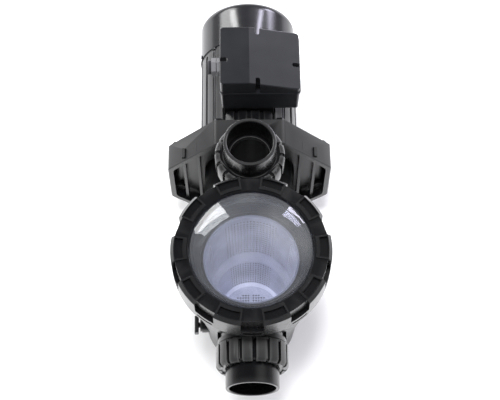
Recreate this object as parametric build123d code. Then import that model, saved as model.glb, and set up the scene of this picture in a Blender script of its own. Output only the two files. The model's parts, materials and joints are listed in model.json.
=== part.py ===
"""Pool pump: strainer pot, pump housing with two pipe unions, and a fan-cooled motor.

Millimetres, +Z up, +Y from the suction union towards the motor's fan. The origin is the centre of
the four floor bolts, on the floor. Every function returns one sub-part in its place.
"""
from build123d import *
import os
from math import cos, pi

# ---- main places -------------------------------------------------------------------------------
SHAFT_Z = 138.0            # height of the motor shaft
DISCHARGE_Y = -51.5        # axis of the discharge union
SUCTION_Z = 215.0          # height of the suction union

# ---- clearances --------------------------------------------------------------------------------
SLIP = 0.3                 # between pieces that come apart by hand
FIT = 0.05                 # radial gap round a pressed, glued or screwed piece
THREAD_GAP = 0.5           # radial gap between plain cylinders that stand for threads
LIFT_GAP = 1.0             # between a nut or ring and the shoulder behind it

# ---- pipe unions -------------------------------------------------------------------------------
PIPE_R = 31.5              # socket for 63 mm pipe
SOCKET_WALL = 5.0
SOCKET_STOP = 3.5          # ledge at the bottom of each socket
THREAD_LENGTH = 23.0
UNION_FLANGE_STEP = 5.5    # how far the clamped flange stands out from the tail
UNION_FLANGE_THICK = 6.0
NUT_WALL = 2.5
NUT_LIP = 5.0
NUT_RIB = 3.2
NUT_RIBS = 16
NUT_TOOTH = 2.0            # how far each rib stands past the nut's end
SUCTION_TAIL = 26.0        # tail that shows outside the nut
DISCHARGE_TAIL = 34.0
GUSSET_THICK = 6.0
GUSSET_X = 22.0
GUSSET_REACH = 40.0
SEAL_LAND = 7.0            # from the waterway to the middle of the union's O-ring
COLLAR_STEP = 1.0          # how far the housing's collar stands out from a nut's wall
COLLAR_THICK = 6.0
SEAL_CORD_R = 1.8          # section radius of every O-ring

# ---- strainer pot, lid and basket --------------------------------------------------------------
POT_WALL = 5.0
POT_FLOOR_Z = 18.0
RIM_R = 92.0               # male thread round the pot's mouth
RIM_WALL = 8.0
RIM_TOP_Z = 308.0
COLLAR_TOP_Z = 284.0
POT_SHOULDER = 5.0         # how far the pot's top stands out from the thread
POT_LOWER = ((58.0, 18.0), (68.0, 28.0), (72.0, 97.0), (80.0, 153.0))
POT_UPPER_Z = (213.0, 275.0)
POT_NECK_STEP = 7.0        # how much narrower the pot is at the lower of those heights
SHELF_TOP_Z = 292.0        # ledge that carries the basket
SHELF_THICK = 6.0
BASKET_R = 63.5
BASKET_RIM_R = 68.5
BASKET_RIM_THICK = 3.0
BASKET_STEP_Z = 166.0
BASKET_LOW_R = 55.5
BASKET_FLOOR_Z = 50.0
BASKET_WALL = 2.0
LID_FLANGE_THICK = 6.0
LID_DOME_RISE = 34.0       # from the flange to the crown
LID_WALL = 5.0
RING_TOP_Z = 333.0
RING_BOTTOM_Z = 288.0
RING_SKIRT_STEP = 14.5     # how far the ring's skirt, top and gaps stand out from the pot's thread
RING_TOP_STEP = 10.0
RING_GAP_STEP = 9.0
RING_MOUTH_STEP = 10.0     # how far the ring's lip reaches in from that thread
RING_GRIPS = 10
GRIP_HALF_ANGLE = 10.0
POT_FOOT_R = 56.0
POT_FOOT_WALL = 8.0

# ---- pump housing ------------------------------------------------------------------------------
BAND_HALF_WIDTH = 123.0
BAND_HALF_HEIGHT = 126.0
BAND_FLAT = 50.0           # half-width of the top and bottom flats
BAND_SIDE = 47.0           # half-height of the upright sides
BAND_FRONT_Y = -19.0
BAND_BACK_Y = 21.0
BAND_CORNER_R = 10.0
BAND_WALL = 5.0
BAND_RIM = 8.0
RECESS_CORNER_R = 24.0
RECESS_ROUND = 10.0
BOLT_BOSS = 7.0            # how far the bolt bosses stand out into the recess
WEB_THICK = 8.0
HOUSING_RIBS = ((98.0, 78.0), (76.0, 96.0))     # each pair's x and half-height
VOLUTE_CHAMFER = 6.0
SEAL_PLATE_THICK = 12.0
IMPELLER_R = 52.0
DIFFUSER_STEP = 5.0        # from the impeller's edge to the outside of the diffuser
CHAMBER_STEP = 6.0         # from there to the wall of the pump chamber
VOLUTE_WALL = 6.0
VOLUTE_FRONT_Y = -88.0
EYE_R = 24.5               # waterway into the impeller
PASSAGE_R = 36.0
DISCHARGE_ROOT = 20.0      # how far above the shaft the discharge spigot begins
PASSAGE_JOINT = 12.0       # from the volute's front to the joint with the pot
DIFFUSER_WALL = 3.0
DIFFUSER_FRONT_Y = -60.0
CORNER_BOLT_SHARE = 0.895  # how far out towards the band's corner each housing bolt stands
BOLT_R = 4.0
BOLT_HEAD_R = 7.5
BOLT_HEAD = 5.3
WASHER_THICK = 1.6

# ---- motor -------------------------------------------------------------------------------------
FRAME_R = 75.5
FRAME_BORE_R = 66.0
FRAME_GROOVES = 24
GROOVE_DEPTH = 5.0
GROOVE_WIDTH = 6.0
FLANGE_R = 89.0
FLANGE_THICK = 8.0
FRAME_BACK_Y = 186.0
CORE_FRONT_Y = 70.0
CORE_TO_BACK = 36.0
AIR_GAP_R = 35.0
AIR_GAP = 0.4
END_TURN = 20.0
WINDING_IN = 3.0           # from the stator's bore to the windings
WINDING_DEPTH = 14.0
SHAFT_WET_R = 7.0
SHAFT_BEARING_R = 8.5
SHAFT_CORE_R = 12.0
SHAFT_FRONT_Y = -44.0
FAN_SEAT = 40.0            # from the fan cover's front to the shaft's end
BEARING_R = 20.0
BEARING_WIDTH = 12.0
FRONT_BEARING_Y = 34.0
RACE_WALL = 3.5
BALLS = 8
COVER_STEP = 1.0           # how far the fan cover stands out from the motor
COVER_WALL = 1.8
COVER_GAP = 6.0            # air gap between the motor and the fan cover
COVER_LENGTH = 76.0
COVER_ROUND = 18.0
FAN_R = 62.0
FAN_BLADES = 7
THROUGH_BOLT_SHANK_R = 2.4
COVER_SCREW_R = 1.5
FRAME_BOLT_ANGLES = (45, 135, 225, 315)
COVER_SCREW_ANGLES = (15, 165, 195, 345)

# ---- terminal box ------------------------------------------------------------------------------
BOX_LEFT = -41.7
BOX_RIGHT = 75.0
BOX_FRONT_Y = 60.0
BOX_BACK_Y = 157.0
BOX_STAND = 13.5           # from the motor's top to the underside of the box
BOX_BASE = 42.0
BOX_COVER_HIGH = 32.0
BOX_COVER_LOW = 13.0
BOX_RIDGE_X = 1.0
BOX_WALL = 3.0
BOX_CORNER_R = 5.0
GASKET_THICK = 0.8
PEDESTAL_HALF = 37.5
PEDESTAL_FRONT_Y = 67.0
PEDESTAL_BACK_Y = 150.0
NOTCH_X = 13.0
NOTCH_FLOOR = 5.0
NOTCH_PILLAR = 11.0
CAPACITOR_R = 16.0
CAPACITOR_LENGTH = 62.0
CAPACITOR_X = 38.0
BOX_SCREW_R = 2.2
BOX_SCREW_INSET = 8.0
SIDE_NOTCH_Y = 101.0
GLAND_Y = 121.0
GLAND_R = 12.5
GLAND_THREAD_R = 8.0
GLAND_CABLE_R = 5.5
GLAND_END_X = -61.0

# ---- feet --------------------------------------------------------------------------------------
FOOT_PLATE = 8.0
FOOT_HALF_X = 100.0
FOOT_HALF_Y = 38.0
FLOOR_BOLT_X = 85.0
FLOOR_BOLT_Y = 25.0
FLOOR_BOLT_R = 5.5
FOOT_SCREW_X = 30.0
FOOT_SCREW_R = 3.0
FOOT_SCREW_HEAD_R = 6.0
MOTOR_FOOT_FRONT_Y = 96.0
MOTOR_FOOT_BACK_Y = 146.0
MOTOR_FOOT_HALF = 58.0
MOTOR_PAD_THICK = 5.0

# ---- drain plugs -------------------------------------------------------------------------------
DRAIN_R = 6.0
DRAIN_BOSS_R = 11.0
DRAIN_FLANGE_R = 9.5
STRAINER_DRAIN_AHEAD = 30.0
STRAINER_DRAIN_Z = 107.0
STRAINER_DRAIN_X = -72.5
VOLUTE_DRAIN_Y = -52.0
VOLUTE_DRAIN_DROP = 44.0   # how far the volute's drain lies below the shaft
VOLUTE_DRAIN_INSET = 8.0
WING_HALF = 13.0
WING_THICK = 10.0

# ---- worked out from the sizes above -----------------------------------------------------------
BASE = (Align.CENTER, Align.CENTER, Align.MIN)
TAIL_R = PIPE_R + SOCKET_WALL
THROAT_R = PIPE_R - SOCKET_STOP
UNION_FLANGE_R = TAIL_R + UNION_FLANGE_STEP
UNION_SEAL_R = THROAT_R + SEAL_LAND
THREAD_R = UNION_FLANGE_R + 1.0
NUT_BORE_R = THREAD_R + THREAD_GAP
NUT_R = NUT_BORE_R + NUT_WALL
NUT_LENGTH = THREAD_LENGTH + UNION_FLANGE_THICK + NUT_LIP
COLLAR_R = NUT_R + COLLAR_STEP
MOUTH_R = RIM_R - RIM_WALL
POT_TOP_R = RIM_R + POT_SHOULDER
POT_OUTLINE = (*POT_LOWER, (POT_TOP_R - POT_NECK_STEP, POT_UPPER_Z[0]), (POT_TOP_R, POT_UPPER_Z[1]))
RING_SKIRT_R = RIM_R + RING_SKIRT_STEP
RING_TOP_R = RIM_R + RING_TOP_STEP
RING_GAP_R = RIM_R + RING_GAP_STEP
RING_MOUTH_R = RIM_R - RING_MOUTH_STEP
LID_DOME_R = RING_MOUTH_R - 0.8
POT_Y = DISCHARGE_Y - NUT_R - NUT_RIB - 0.8 - RING_SKIRT_R     # the ring just clears the discharge nut
SUCTION_NUT_Y = POT_Y - POT_TOP_R                              # pump-side ends of the two nuts
DISCHARGE_NUT_Z = SHAFT_Z + BAND_HALF_HEIGHT + LIFT_GAP
STRAINER_DRAIN_Y = POT_Y - STRAINER_DRAIN_AHEAD
DIFFUSER_R = IMPELLER_R + DIFFUSER_STEP
CHAMBER_R = DIFFUSER_R + CHAMBER_STEP
VOLUTE_R = CHAMBER_R + VOLUTE_WALL
VOLUTE_DRAIN_X = VOLUTE_DRAIN_INSET - VOLUTE_R
VOLUTE_DRAIN_Z = SHAFT_Z - VOLUTE_DRAIN_DROP
PASSAGE_JOINT_Y = VOLUTE_FRONT_Y - PASSAGE_JOINT
PASSAGE_BORE_R = EYE_R + DIFFUSER_WALL + SLIP
PLATE_FRONT_Y = BAND_BACK_Y - SEAL_PLATE_THICK
WEB_FRONT_Y = PLATE_FRONT_Y - WEB_THICK
FRAME_FRONT_Y = BAND_BACK_Y + FLANGE_THICK
FLANGE_BOLT_R = FLANGE_R - 6.5
PLATE_SEAL_R = CHAMBER_R + 6.0
RIM_SEAL_R = (RIM_R + MOUTH_R) / 2
LID_FLANGE_R = RIM_R - SLIP
LID_FLANGE_TOP_Z = RIM_TOP_Z + LID_FLANGE_THICK
RING_BORE_R = RIM_R + THREAD_GAP
RING_LIP_Z = LID_FLANGE_TOP_Z + SLIP
BAND_BOTTOM_Z = SHAFT_Z - BAND_HALF_HEIGHT
FOOT_SCREW_Y = PLATE_FRONT_Y - BOLT_R - 5
CORE_BACK_Y = FRAME_BACK_Y - CORE_TO_BACK
REAR_BEARING_Y = FRAME_BACK_Y - BEARING_WIDTH
COVER_R = FRAME_R + COVER_STEP
COVER_FRONT_Y = FRAME_BACK_Y + COVER_GAP
COVER_BACK_Y = COVER_FRONT_Y + COVER_LENGTH
SHAFT_BACK_Y = COVER_FRONT_Y + FAN_SEAT
BOX_BOTTOM_Z = SHAFT_Z + FRAME_R + BOX_STAND
BOX_PARTING_Z = BOX_BOTTOM_Z + BOX_BASE
BOX_HIGH_Z = BOX_PARTING_Z + BOX_COVER_HIGH
BOX_LOW_Z = BOX_PARTING_Z + BOX_COVER_LOW
BOX_MIDDLE_Y = (BOX_FRONT_Y + BOX_BACK_Y) / 2
GLAND_Z = BOX_BOTTOM_Z + BOX_BASE / 2
THROUGH_BOLT_R = FRAME_R - GROOVE_DEPTH / 2


# ---- helpers -----------------------------------------------------------------------------------
def post(radius, low, high, x=0.0, y=0.0):
    """An upright cylinder."""
    return Pos(x, y, low) * Cylinder(radius, high - low, align=BASE)


def bar_y(radius, start, end, x=0.0, z=SHAFT_Z):
    """A cylinder along +Y."""
    return Pos(x, start, z) * Rot(-90, 0, 0) * Cylinder(radius, end - start, align=BASE)


def bar_x(radius, start, end, y, z):
    """A cylinder along +X."""
    return Pos(start, y, z) * Rot(0, 90, 0) * Cylinder(radius, end - start, align=BASE)


def block(x0, x1, y0, y1, z0, z1):
    """A box between two corners."""
    return Pos((x0 + x1) / 2, (y0 + y1) / 2, (z0 + z1) / 2) * Box(x1 - x0, y1 - y0, z1 - z0)


def turned_z(points, y=0.0, angle=360.0, start=0.0):
    """A (radius, z) outline turned about an upright axis at the given y."""
    face = Plane.XZ * make_face(Polyline(*points, close=True))
    return Pos(0, y, 0) * Rot(0, 0, start) * revolve(face, Axis.Z, angle)


def turned_y(points):
    """A (radius, y) outline turned about the shaft."""
    return Pos(0, 0, SHAFT_Z) * revolve(make_face(Polyline(*points, close=True)), Axis.Y)


def ring_y(outer, inner, start, end):
    """A plain ring about the shaft."""
    return turned_y([(inner, start), (outer, start), (outer, end), (inner, end)])


def seal_groove(radius, face, depth_sign):
    """The (radius, height) corners of an O-ring groove that opens at the height face."""
    half = SEAL_CORD_R + SLIP
    depth = depth_sign * (2 * SEAL_CORD_R + SLIP)
    inner, outer = radius - half, radius + half
    return [(inner, face), (outer, face), (outer, face + depth), (inner, face + depth)]


def around(shape, angles):
    """Copies of a shape turned about the shaft to each angle in degrees."""
    centre = Pos(0, 0, SHAFT_Z)
    return [centre * Rot(0, -angle, 0) * centre.inverse() * shape for angle in angles]


def joined(shapes):
    """Shapes that touch, fused into one."""
    total = shapes[0]
    for shape in shapes[1:]:
        total = total + shape
    return total


def octagon(inset, start, end, corner=BAND_CORNER_R):
    """The housing band's eight-sided outline, moved inwards, as a slab between two y places."""
    corners = []
    for across, up in ((1, 1), (-1, 1), (-1, -1), (1, -1)):
        pair = [(across * BAND_HALF_WIDTH, up * BAND_SIDE), (across * BAND_FLAT, up * BAND_HALF_HEIGHT)]
        corners += pair if across * up > 0 else pair[::-1]
    face = make_face(Polyline(*corners, close=True))
    if inset > 0:
        face = offset(face, -inset, kind=Kind.INTERSECTION)
    slab = Pos(0, end, SHAFT_Z) * Rot(90, 0, 0) * extrude(face, end - start)
    return fillet(slab.edges().filter_by(Axis.Y), max(corner - inset, 1.0))


def housing_bolt_places():
    """(x, z) of the eight bolts near the band's corners."""
    share = CORNER_BOLT_SHARE
    near = [(BAND_HALF_WIDTH * share, BAND_SIDE * share), (BAND_FLAT * share, BAND_HALF_HEIGHT * share)]
    return [(sx * x, SHAFT_Z + sz * z) for x, z in near for sx in (1, -1) for sz in (1, -1)]


def hex_bolt_y(x, z, head_y, tip_y, radius, head_radius, head):
    """A hexagon bolt along Y whose head sits on head_y and whose shank reaches back to tip_y."""
    head_face = RegularPolygon(head_radius, 6)
    top = Pos(x, head_y, z) * Rot(-90, 0, 0) * extrude(head_face, head)
    return top + bar_y(radius, tip_y, head_y, x, z)


# ---- strainer pot ------------------------------------------------------------------------------
def pot_outside():
    """The pot's outer form, its collar and its threaded mouth, solid."""
    outline = [(0, POT_FLOOR_Z), *POT_OUTLINE, (POT_OUTLINE[-1][0], COLLAR_TOP_Z)]
    outline += [(RIM_R, COLLAR_TOP_Z), (RIM_R, RIM_TOP_Z), (0, RIM_TOP_Z)]
    foot = [(POT_FOOT_R - POT_FOOT_WALL, 0), (POT_FOOT_R, 0), (POT_FOOT_R, POT_FLOOR_Z + 2)]
    foot += [(POT_FOOT_R - POT_FOOT_WALL, POT_FLOOR_Z + 2)]
    return turned_z(outline, POT_Y) + turned_z(foot, POT_Y)


def pot_inside():
    """The water space in the pot, with the basket's ledge left standing."""
    shelf_low = SHELF_TOP_Z - SHELF_THICK
    wall = [(r - POT_WALL, max(z, POT_FLOOR_Z + POT_WALL)) for r, z in POT_OUTLINE[1:]]
    neck_r = RIM_R - POT_WALL
    neck_low = COLLAR_TOP_Z - 2 * POT_WALL
    below = [(0, POT_FLOOR_Z + POT_WALL), *wall[:-1], (neck_r, neck_low), (neck_r, shelf_low), (0, shelf_low)]
    hole = post(BASKET_R + 1.0, shelf_low - 1, SHELF_TOP_Z + 1, 0, POT_Y)
    above = post(MOUTH_R, SHELF_TOP_Z, RIM_TOP_Z + 1, 0, POT_Y)
    groove = turned_z(seal_groove(RIM_SEAL_R, RIM_TOP_Z, -1), POT_Y)
    return turned_z(below, POT_Y) + hole + above + groove


def union_seat(cut_to):
    """Threaded spigot in the union's own frame: z 0 at the nut's pump end, outwards is +Z."""
    return post(THREAD_R, cut_to, THREAD_LENGTH) + post(COLLAR_R, -LIFT_GAP - COLLAR_THICK, -LIFT_GAP)


def union_waterway(depth):
    """The bore through a union's spigot and the O-ring groove in its face, in the union's own frame."""
    groove = turned_z(seal_groove(UNION_SEAL_R, THREAD_LENGTH, -1))
    return post(THROAT_R, -depth, THREAD_LENGTH + 1) + groove


def suction_frame():
    """Where the suction union's own frame stands."""
    return Plane(origin=(0, SUCTION_NUT_Y, SUCTION_Z), x_dir=(1, 0, 0), z_dir=(0, -1, 0))


def discharge_frame():
    """Where the discharge union's own frame stands."""
    return Plane(origin=(0, DISCHARGE_Y, DISCHARGE_NUT_Z), x_dir=(1, 0, 0), z_dir=(0, 0, 1))


def drain_boss(x, y, z, depth):
    """A round boss that faces -X, for a drain plug."""
    return bar_x(DRAIN_BOSS_R, x, x + depth, y, z)


def drain_hole(x, y, z, depth):
    """The tapped hole and O-ring seat in a drain boss."""
    groove = bar_x(DRAIN_R + 2 * SEAL_CORD_R + SLIP, x - 1, x + 2 * SEAL_CORD_R + SLIP, y, z)
    return bar_x(DRAIN_R + THREAD_GAP, x - 1, x + depth, y, z) + groove


def gussets():
    """Webs beside the suction spigot, from its collar back to the pot."""
    front = SUCTION_NUT_Y + LIFT_GAP + COLLAR_THICK - 1
    back = POT_Y - 60
    half = GUSSET_THICK / 2
    webs = [block(-COLLAR_R, COLLAR_R, front, back, SUCTION_Z - half, SUCTION_Z + half)]
    for x in (-GUSSET_X, GUSSET_X):
        webs.append(block(x - 2, x + 2, front, back, SUCTION_Z - GUSSET_REACH, SUCTION_Z + GUSSET_REACH))
    return joined(webs)


def strainer_pot():
    """The pot with the suction spigot on its front and the first half of the suction passage behind."""
    boss_depth = abs(STRAINER_DRAIN_X) - 40
    drain = (STRAINER_DRAIN_X, STRAINER_DRAIN_Y, STRAINER_DRAIN_Z)
    pot = pot_outside() + suction_frame() * union_seat(-30) + gussets()
    pot += bar_y(PASSAGE_R, POT_Y, PASSAGE_JOINT_Y) + drain_boss(*drain, boss_depth)
    pot -= pot_inside()
    pot -= suction_frame() * union_waterway(60)
    pot -= bar_y(PASSAGE_BORE_R, POT_Y, PASSAGE_JOINT_Y + 1)
    return pot - drain_hole(*drain, boss_depth + 2)


# ---- pump housing: second half of the passage, volute, octagonal band and discharge spigot ------
def volute_outside():
    """The round volute behind the passage, with its front edge chamfered."""
    volute = bar_y(VOLUTE_R, VOLUTE_FRONT_Y, PLATE_FRONT_Y)
    volute = chamfer(volute.faces().sort_by(Axis.Y)[0].edges(), VOLUTE_CHAMFER)
    return volute + bar_y(PASSAGE_R, PASSAGE_JOINT_Y, VOLUTE_FRONT_Y + 2)


def housing_band():
    """The octagonal band: a rim that opens to the front, its web, and ribs beside the volute."""
    band = octagon(0, BAND_FRONT_Y, BAND_BACK_Y)
    band = chamfer(band.faces().sort_by(Axis.Y)[0].outer_wire().edges(), 1.5)
    recess = octagon(BAND_RIM, BAND_FRONT_Y - 1, WEB_FRONT_Y, RECESS_CORNER_R)
    band -= fillet(recess.faces().sort_by(Axis.Y)[-1].edges(), RECESS_ROUND)
    band -= octagon(BAND_WALL, PLATE_FRONT_Y, BAND_BACK_Y + 1)
    ribs = []
    front = BAND_FRONT_Y + 5
    for x, reach in HOUSING_RIBS:
        for side in (x, -x):
            ribs.append(block(side - 2, side + 2, front, WEB_FRONT_Y, SHAFT_Z - reach, SHAFT_Z + reach))
    return joined([band] + ribs)


def pump_housing():
    """The housing that holds the impeller, closed behind by the seal plate."""
    drain = (VOLUTE_DRAIN_X, VOLUTE_DRAIN_Y, VOLUTE_DRAIN_Z)
    boss_depth = 26
    housing = volute_outside() + housing_band()
    for x, z in housing_bolt_places():
        housing += bar_y(BOLT_R + 5, WEB_FRONT_Y - BOLT_BOSS, PLATE_FRONT_Y, x, z)
    housing += discharge_frame() * union_seat(SHAFT_Z + DISCHARGE_ROOT - DISCHARGE_NUT_Z)
    for x in (-FOOT_SCREW_X, FOOT_SCREW_X):
        housing += post(BOLT_R + 4, BAND_BOTTOM_Z, BAND_BOTTOM_Z + 20, x, FOOT_SCREW_Y)
    housing += drain_boss(*drain, boss_depth)
    housing -= bar_y(PASSAGE_BORE_R, PASSAGE_JOINT_Y - 1, VOLUTE_FRONT_Y + VOLUTE_WALL + 1)
    housing -= bar_y(CHAMBER_R, VOLUTE_FRONT_Y + VOLUTE_WALL, PLATE_FRONT_Y + 1)
    housing -= discharge_frame() * union_waterway(DISCHARGE_NUT_Z - SHAFT_Z - 30)
    housing -= drain_hole(*drain, boss_depth + 10)
    for x, z in housing_bolt_places():
        housing -= bar_y(BOLT_R + FIT, WEB_FRONT_Y - BOLT_BOSS + 3, PLATE_FRONT_Y + 1, x, z)
    for x in (-FOOT_SCREW_X, FOOT_SCREW_X):
        housing -= post(FOOT_SCREW_R + FIT, BAND_BOTTOM_Z - 1, BAND_BOTTOM_Z + 15, x, FOOT_SCREW_Y)
    return housing


# ---- unions ------------------------------------------------------------------------------------
def union_tail(show):
    """A solvent-weld pipe socket with the flange that the nut clamps, in the union's own frame."""
    face = THREAD_LENGTH
    top = NUT_LENGTH + show
    outline = [(THROAT_R, face), (UNION_FLANGE_R, face), (UNION_FLANGE_R, face + UNION_FLANGE_THICK)]
    outline += [(TAIL_R, face + UNION_FLANGE_THICK), (TAIL_R, top - 1), (TAIL_R - 1, top), (PIPE_R + 1, top)]
    outline += [(PIPE_R, top - 1), (PIPE_R, face + UNION_FLANGE_THICK), (THROAT_R, face + UNION_FLANGE_THICK)]
    return turned_z(outline)


def union_nut():
    """A ribbed union nut in the union's own frame."""
    lip = NUT_LENGTH - NUT_LIP + SLIP
    end = NUT_LENGTH - NUT_TOOTH
    outline = [(NUT_BORE_R, 0), (NUT_R, 0), (NUT_R, end - 2), (NUT_R - 2, end)]
    outline += [(TAIL_R + THREAD_GAP, end), (TAIL_R + THREAD_GAP, lip), (NUT_BORE_R, lip)]
    top = NUT_R + NUT_RIB
    rib = [(NUT_R - 1, 2), (top, 2), (top, NUT_LENGTH - 5), (top - 2, NUT_LENGTH - 1.5)]
    rib += [(top - 4, NUT_LENGTH), (NUT_R - 4, NUT_LENGTH), (NUT_R - 4, end - 1), (NUT_R - 1, end - 3)]
    pitch = 360 / NUT_RIBS
    ribs = [turned_z(rib, 0, pitch * 0.72, pitch * i) for i in range(NUT_RIBS)]
    band = turned_z([(NUT_R - 1, 0.5), (top - 1, 0.5), (top - 1, 4), (NUT_R - 1, 4)])
    return turned_z(outline) + band + ribs


def seal_ring(radius, height):
    """An O-ring lying flat."""
    return Pos(0, 0, height) * Torus(radius, SEAL_CORD_R)


# ---- strainer ----------------------------------------------------------------------------------
def strainer_basket():
    """A stepped cup with a flat rim, an inlet hole, and slots in its wall and floor."""
    top = SHELF_TOP_Z + BASKET_RIM_THICK
    step_low = BASKET_STEP_Z - 20
    low = BASKET_LOW_R - 3
    floor = BASKET_FLOOR_Z
    wall = BASKET_WALL
    outline = [(0, floor), (low, floor), (BASKET_LOW_R, step_low), (BASKET_R - 2.5, BASKET_STEP_Z)]
    outline += [(BASKET_R, SHELF_TOP_Z), (BASKET_RIM_R, SHELF_TOP_Z), (BASKET_RIM_R, top)]
    outline += [(BASKET_R - wall, top), (BASKET_R - 2.5 - wall, BASKET_STEP_Z)]
    outline += [(BASKET_LOW_R - wall, step_low)]
    outline += [(low - wall, floor + wall), (0, floor + wall)]
    basket = turned_z(outline, POT_Y)
    inlet = bar_y(THROAT_R + 1, POT_Y - BASKET_R - 5, POT_Y - 30, 0, SUCTION_Z + 6)
    slot = block(BASKET_LOW_R - 12, BASKET_LOW_R + 3, -1.5, 1.5, floor + 12, step_low - 12)
    turn = Pos(0, POT_Y, 0)
    slots = [turn * Rot(0, 0, 15 * i + 7.5) * slot for i in range(24)]
    grid = [(x, POT_Y + y) for x in (-24, -12, 0, 12, 24) for y in (-24, 0, 24)]
    drains = [post(3, floor - 1, floor + wall + 1, x, y) for x, y in grid]
    return basket - inlet - slots - drains


def strainer_lid():
    """The clear domed lid."""
    top = LID_FLANGE_TOP_Z
    crown = top + LID_DOME_RISE
    shoulder = top + LID_DOME_RISE * 0.45
    inner = LID_DOME_R - LID_WALL
    outside = ThreePointArc((0, crown), (LID_DOME_R * 0.55, crown - 5.0), (LID_DOME_R, shoulder))
    low = crown - LID_WALL
    inside = ThreePointArc((0, low), (inner * 0.55, low - 4.6), (inner, shoulder - LID_WALL))
    rim = Polyline((LID_DOME_R, shoulder), (LID_DOME_R, top), (LID_FLANGE_R, top), (LID_FLANGE_R, RIM_TOP_Z),
                   (inner, RIM_TOP_Z), (inner, shoulder - LID_WALL))
    face = make_face(Curve() + [outside, rim, inside, Line((0, low), (0, crown))])
    return Pos(0, POT_Y, 0) * revolve(Plane.XZ * face, Axis.Z)


def lock_ring():
    """The screwed ring that holds the lid, with ten grips round it."""
    gap_top = RING_TOP_Z - 1.5
    ledge = RING_BOTTOM_Z + 17
    outline = [(RING_BORE_R, RING_BOTTOM_Z), (RING_SKIRT_R, RING_BOTTOM_Z), (RING_SKIRT_R, ledge)]
    outline += [(RING_GAP_R, ledge + 1), (RING_GAP_R, gap_top), (RING_MOUTH_R + 1.5, gap_top)]
    outline += [(RING_MOUTH_R, gap_top - 1.5), (RING_MOUTH_R, RING_LIP_Z), (RING_BORE_R, RING_LIP_Z)]
    ring = turned_z(outline, POT_Y)
    grip = [(RING_MOUTH_R + 3, gap_top - 2), (RING_MOUTH_R + 3, RING_TOP_Z), (RING_TOP_R, RING_TOP_Z)]
    grip += [(RING_SKIRT_R, RING_TOP_Z - 6), (RING_SKIRT_R, ledge - 1), (RING_GAP_R - 1, ledge - 1)]
    grip += [(RING_GAP_R - 1, gap_top - 2)]
    pocket = [(RING_MOUTH_R + 8, RING_TOP_Z - 4), (RING_TOP_R - 1, RING_TOP_Z - 4)]
    pocket += [(RING_TOP_R - 1, RING_TOP_Z + 1), (RING_MOUTH_R + 8, RING_TOP_Z + 1)]
    step = 360 / RING_GRIPS
    half = GRIP_HALF_ANGLE
    ring += [turned_z(grip, POT_Y, 2 * half, step * i - half) for i in range(RING_GRIPS)]
    ring -= [turned_z(pocket, POT_Y, 2 * half - 3, step * i - half + 1.5) for i in range(RING_GRIPS)]
    slot = [(RING_SKIRT_R - 3, RING_BOTTOM_Z + 6), (RING_SKIRT_R + 1, RING_BOTTOM_Z + 6)]
    slot += [(RING_SKIRT_R + 1, RING_BOTTOM_Z + 11), (RING_SKIRT_R - 3, RING_BOTTOM_Z + 11)]
    ring -= [turned_z(slot, POT_Y, 13, step * (i + 0.5) - 6.5) for i in range(RING_GRIPS)]
    return ring


# ---- wet end -----------------------------------------------------------------------------------
def seal_plate():
    """The back wall of the pump chamber, which carries the shaft seal and the motor."""
    plate = octagon(BAND_WALL + SLIP, PLATE_FRONT_Y, BAND_BACK_Y)
    plate += bar_y(24, PLATE_FRONT_Y - 10, PLATE_FRONT_Y)
    plate -= bar_y(16 + FIT, PLATE_FRONT_Y - 11, PLATE_FRONT_Y - 1)
    plate -= bar_y(SHAFT_WET_R + 2.5, PLATE_FRONT_Y - 2, BAND_BACK_Y + 1)
    plate -= turned_y(seal_groove(PLATE_SEAL_R, PLATE_FRONT_Y, 1))
    for x, z in housing_bolt_places():
        plate -= bar_y(BOLT_R + SLIP, PLATE_FRONT_Y - 1, BAND_BACK_Y + 1, x, z)
    hole = bar_y(BOLT_R + FIT, PLATE_FRONT_Y + 2.5, BAND_BACK_Y + 1, FLANGE_BOLT_R)
    return plate - around(hole, FRAME_BOLT_ANGLES)


def seal_plate_oring():
    """The O-ring between the seal plate and the chamber's back edge."""
    return Pos(0, PLATE_FRONT_Y + SEAL_CORD_R, SHAFT_Z) * Rot(90, 0, 0) * Torus(PLATE_SEAL_R, SEAL_CORD_R)


def diffuser():
    """A cup round the impeller, with guide vanes outside it and a nozzle into the suction passage."""
    outer, wall, front = DIFFUSER_R, DIFFUSER_WALL, DIFFUSER_FRONT_Y
    outline = [(EYE_R, VOLUTE_FRONT_Y + 2), (EYE_R + wall, VOLUTE_FRONT_Y + 2), (EYE_R + wall, front - wall)]
    outline += [(outer, front - wall), (outer, PLATE_FRONT_Y), (outer - wall, PLATE_FRONT_Y)]
    outline += [(outer - wall, front), (EYE_R, front)]
    cup = turned_y(outline)
    window = block(-9, 9, -34, -14, SHAFT_Z + outer - 8, SHAFT_Z + outer + 4)
    vane = block(-1.5, 1.5, front + 2, -36, SHAFT_Z + outer - 1, SHAFT_Z + CHAMBER_R - 1)
    cup -= around(window, range(0, 360, 45))
    return cup + around(vane, range(22, 360, 45))


def impeller():
    """A closed impeller with six swept vanes."""
    front = turned_y([(20, -66), (EYE_R - SLIP, -66), (EYE_R - SLIP, -54), (IMPELLER_R, -50),
                      (IMPELLER_R, -47), (20, -51)])
    back = turned_y([(SHAFT_WET_R + FIT, -44), (12, -44), (16, -32), (IMPELLER_R, -31), (IMPELLER_R, -28),
                     (14, -28), (14, -16), (SHAFT_WET_R + FIT, -16)])
    vane = Pos((IMPELLER_R + 14) / 2, -40, SHAFT_Z) * Rot(0, 32, 0) * Box(IMPELLER_R - 10, 20, 3)
    vane = vane & ring_y(IMPELLER_R - 1, 15, -49.5, -30)
    return front + back + around(vane, range(0, 360, 60))


def impeller_screw():
    """The screw in the shaft's end that holds the impeller."""
    head = bar_y(9, SHAFT_FRONT_Y - 5, SHAFT_FRONT_Y)
    return head + bar_y(3, SHAFT_FRONT_Y, SHAFT_FRONT_Y + 18)


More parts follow.
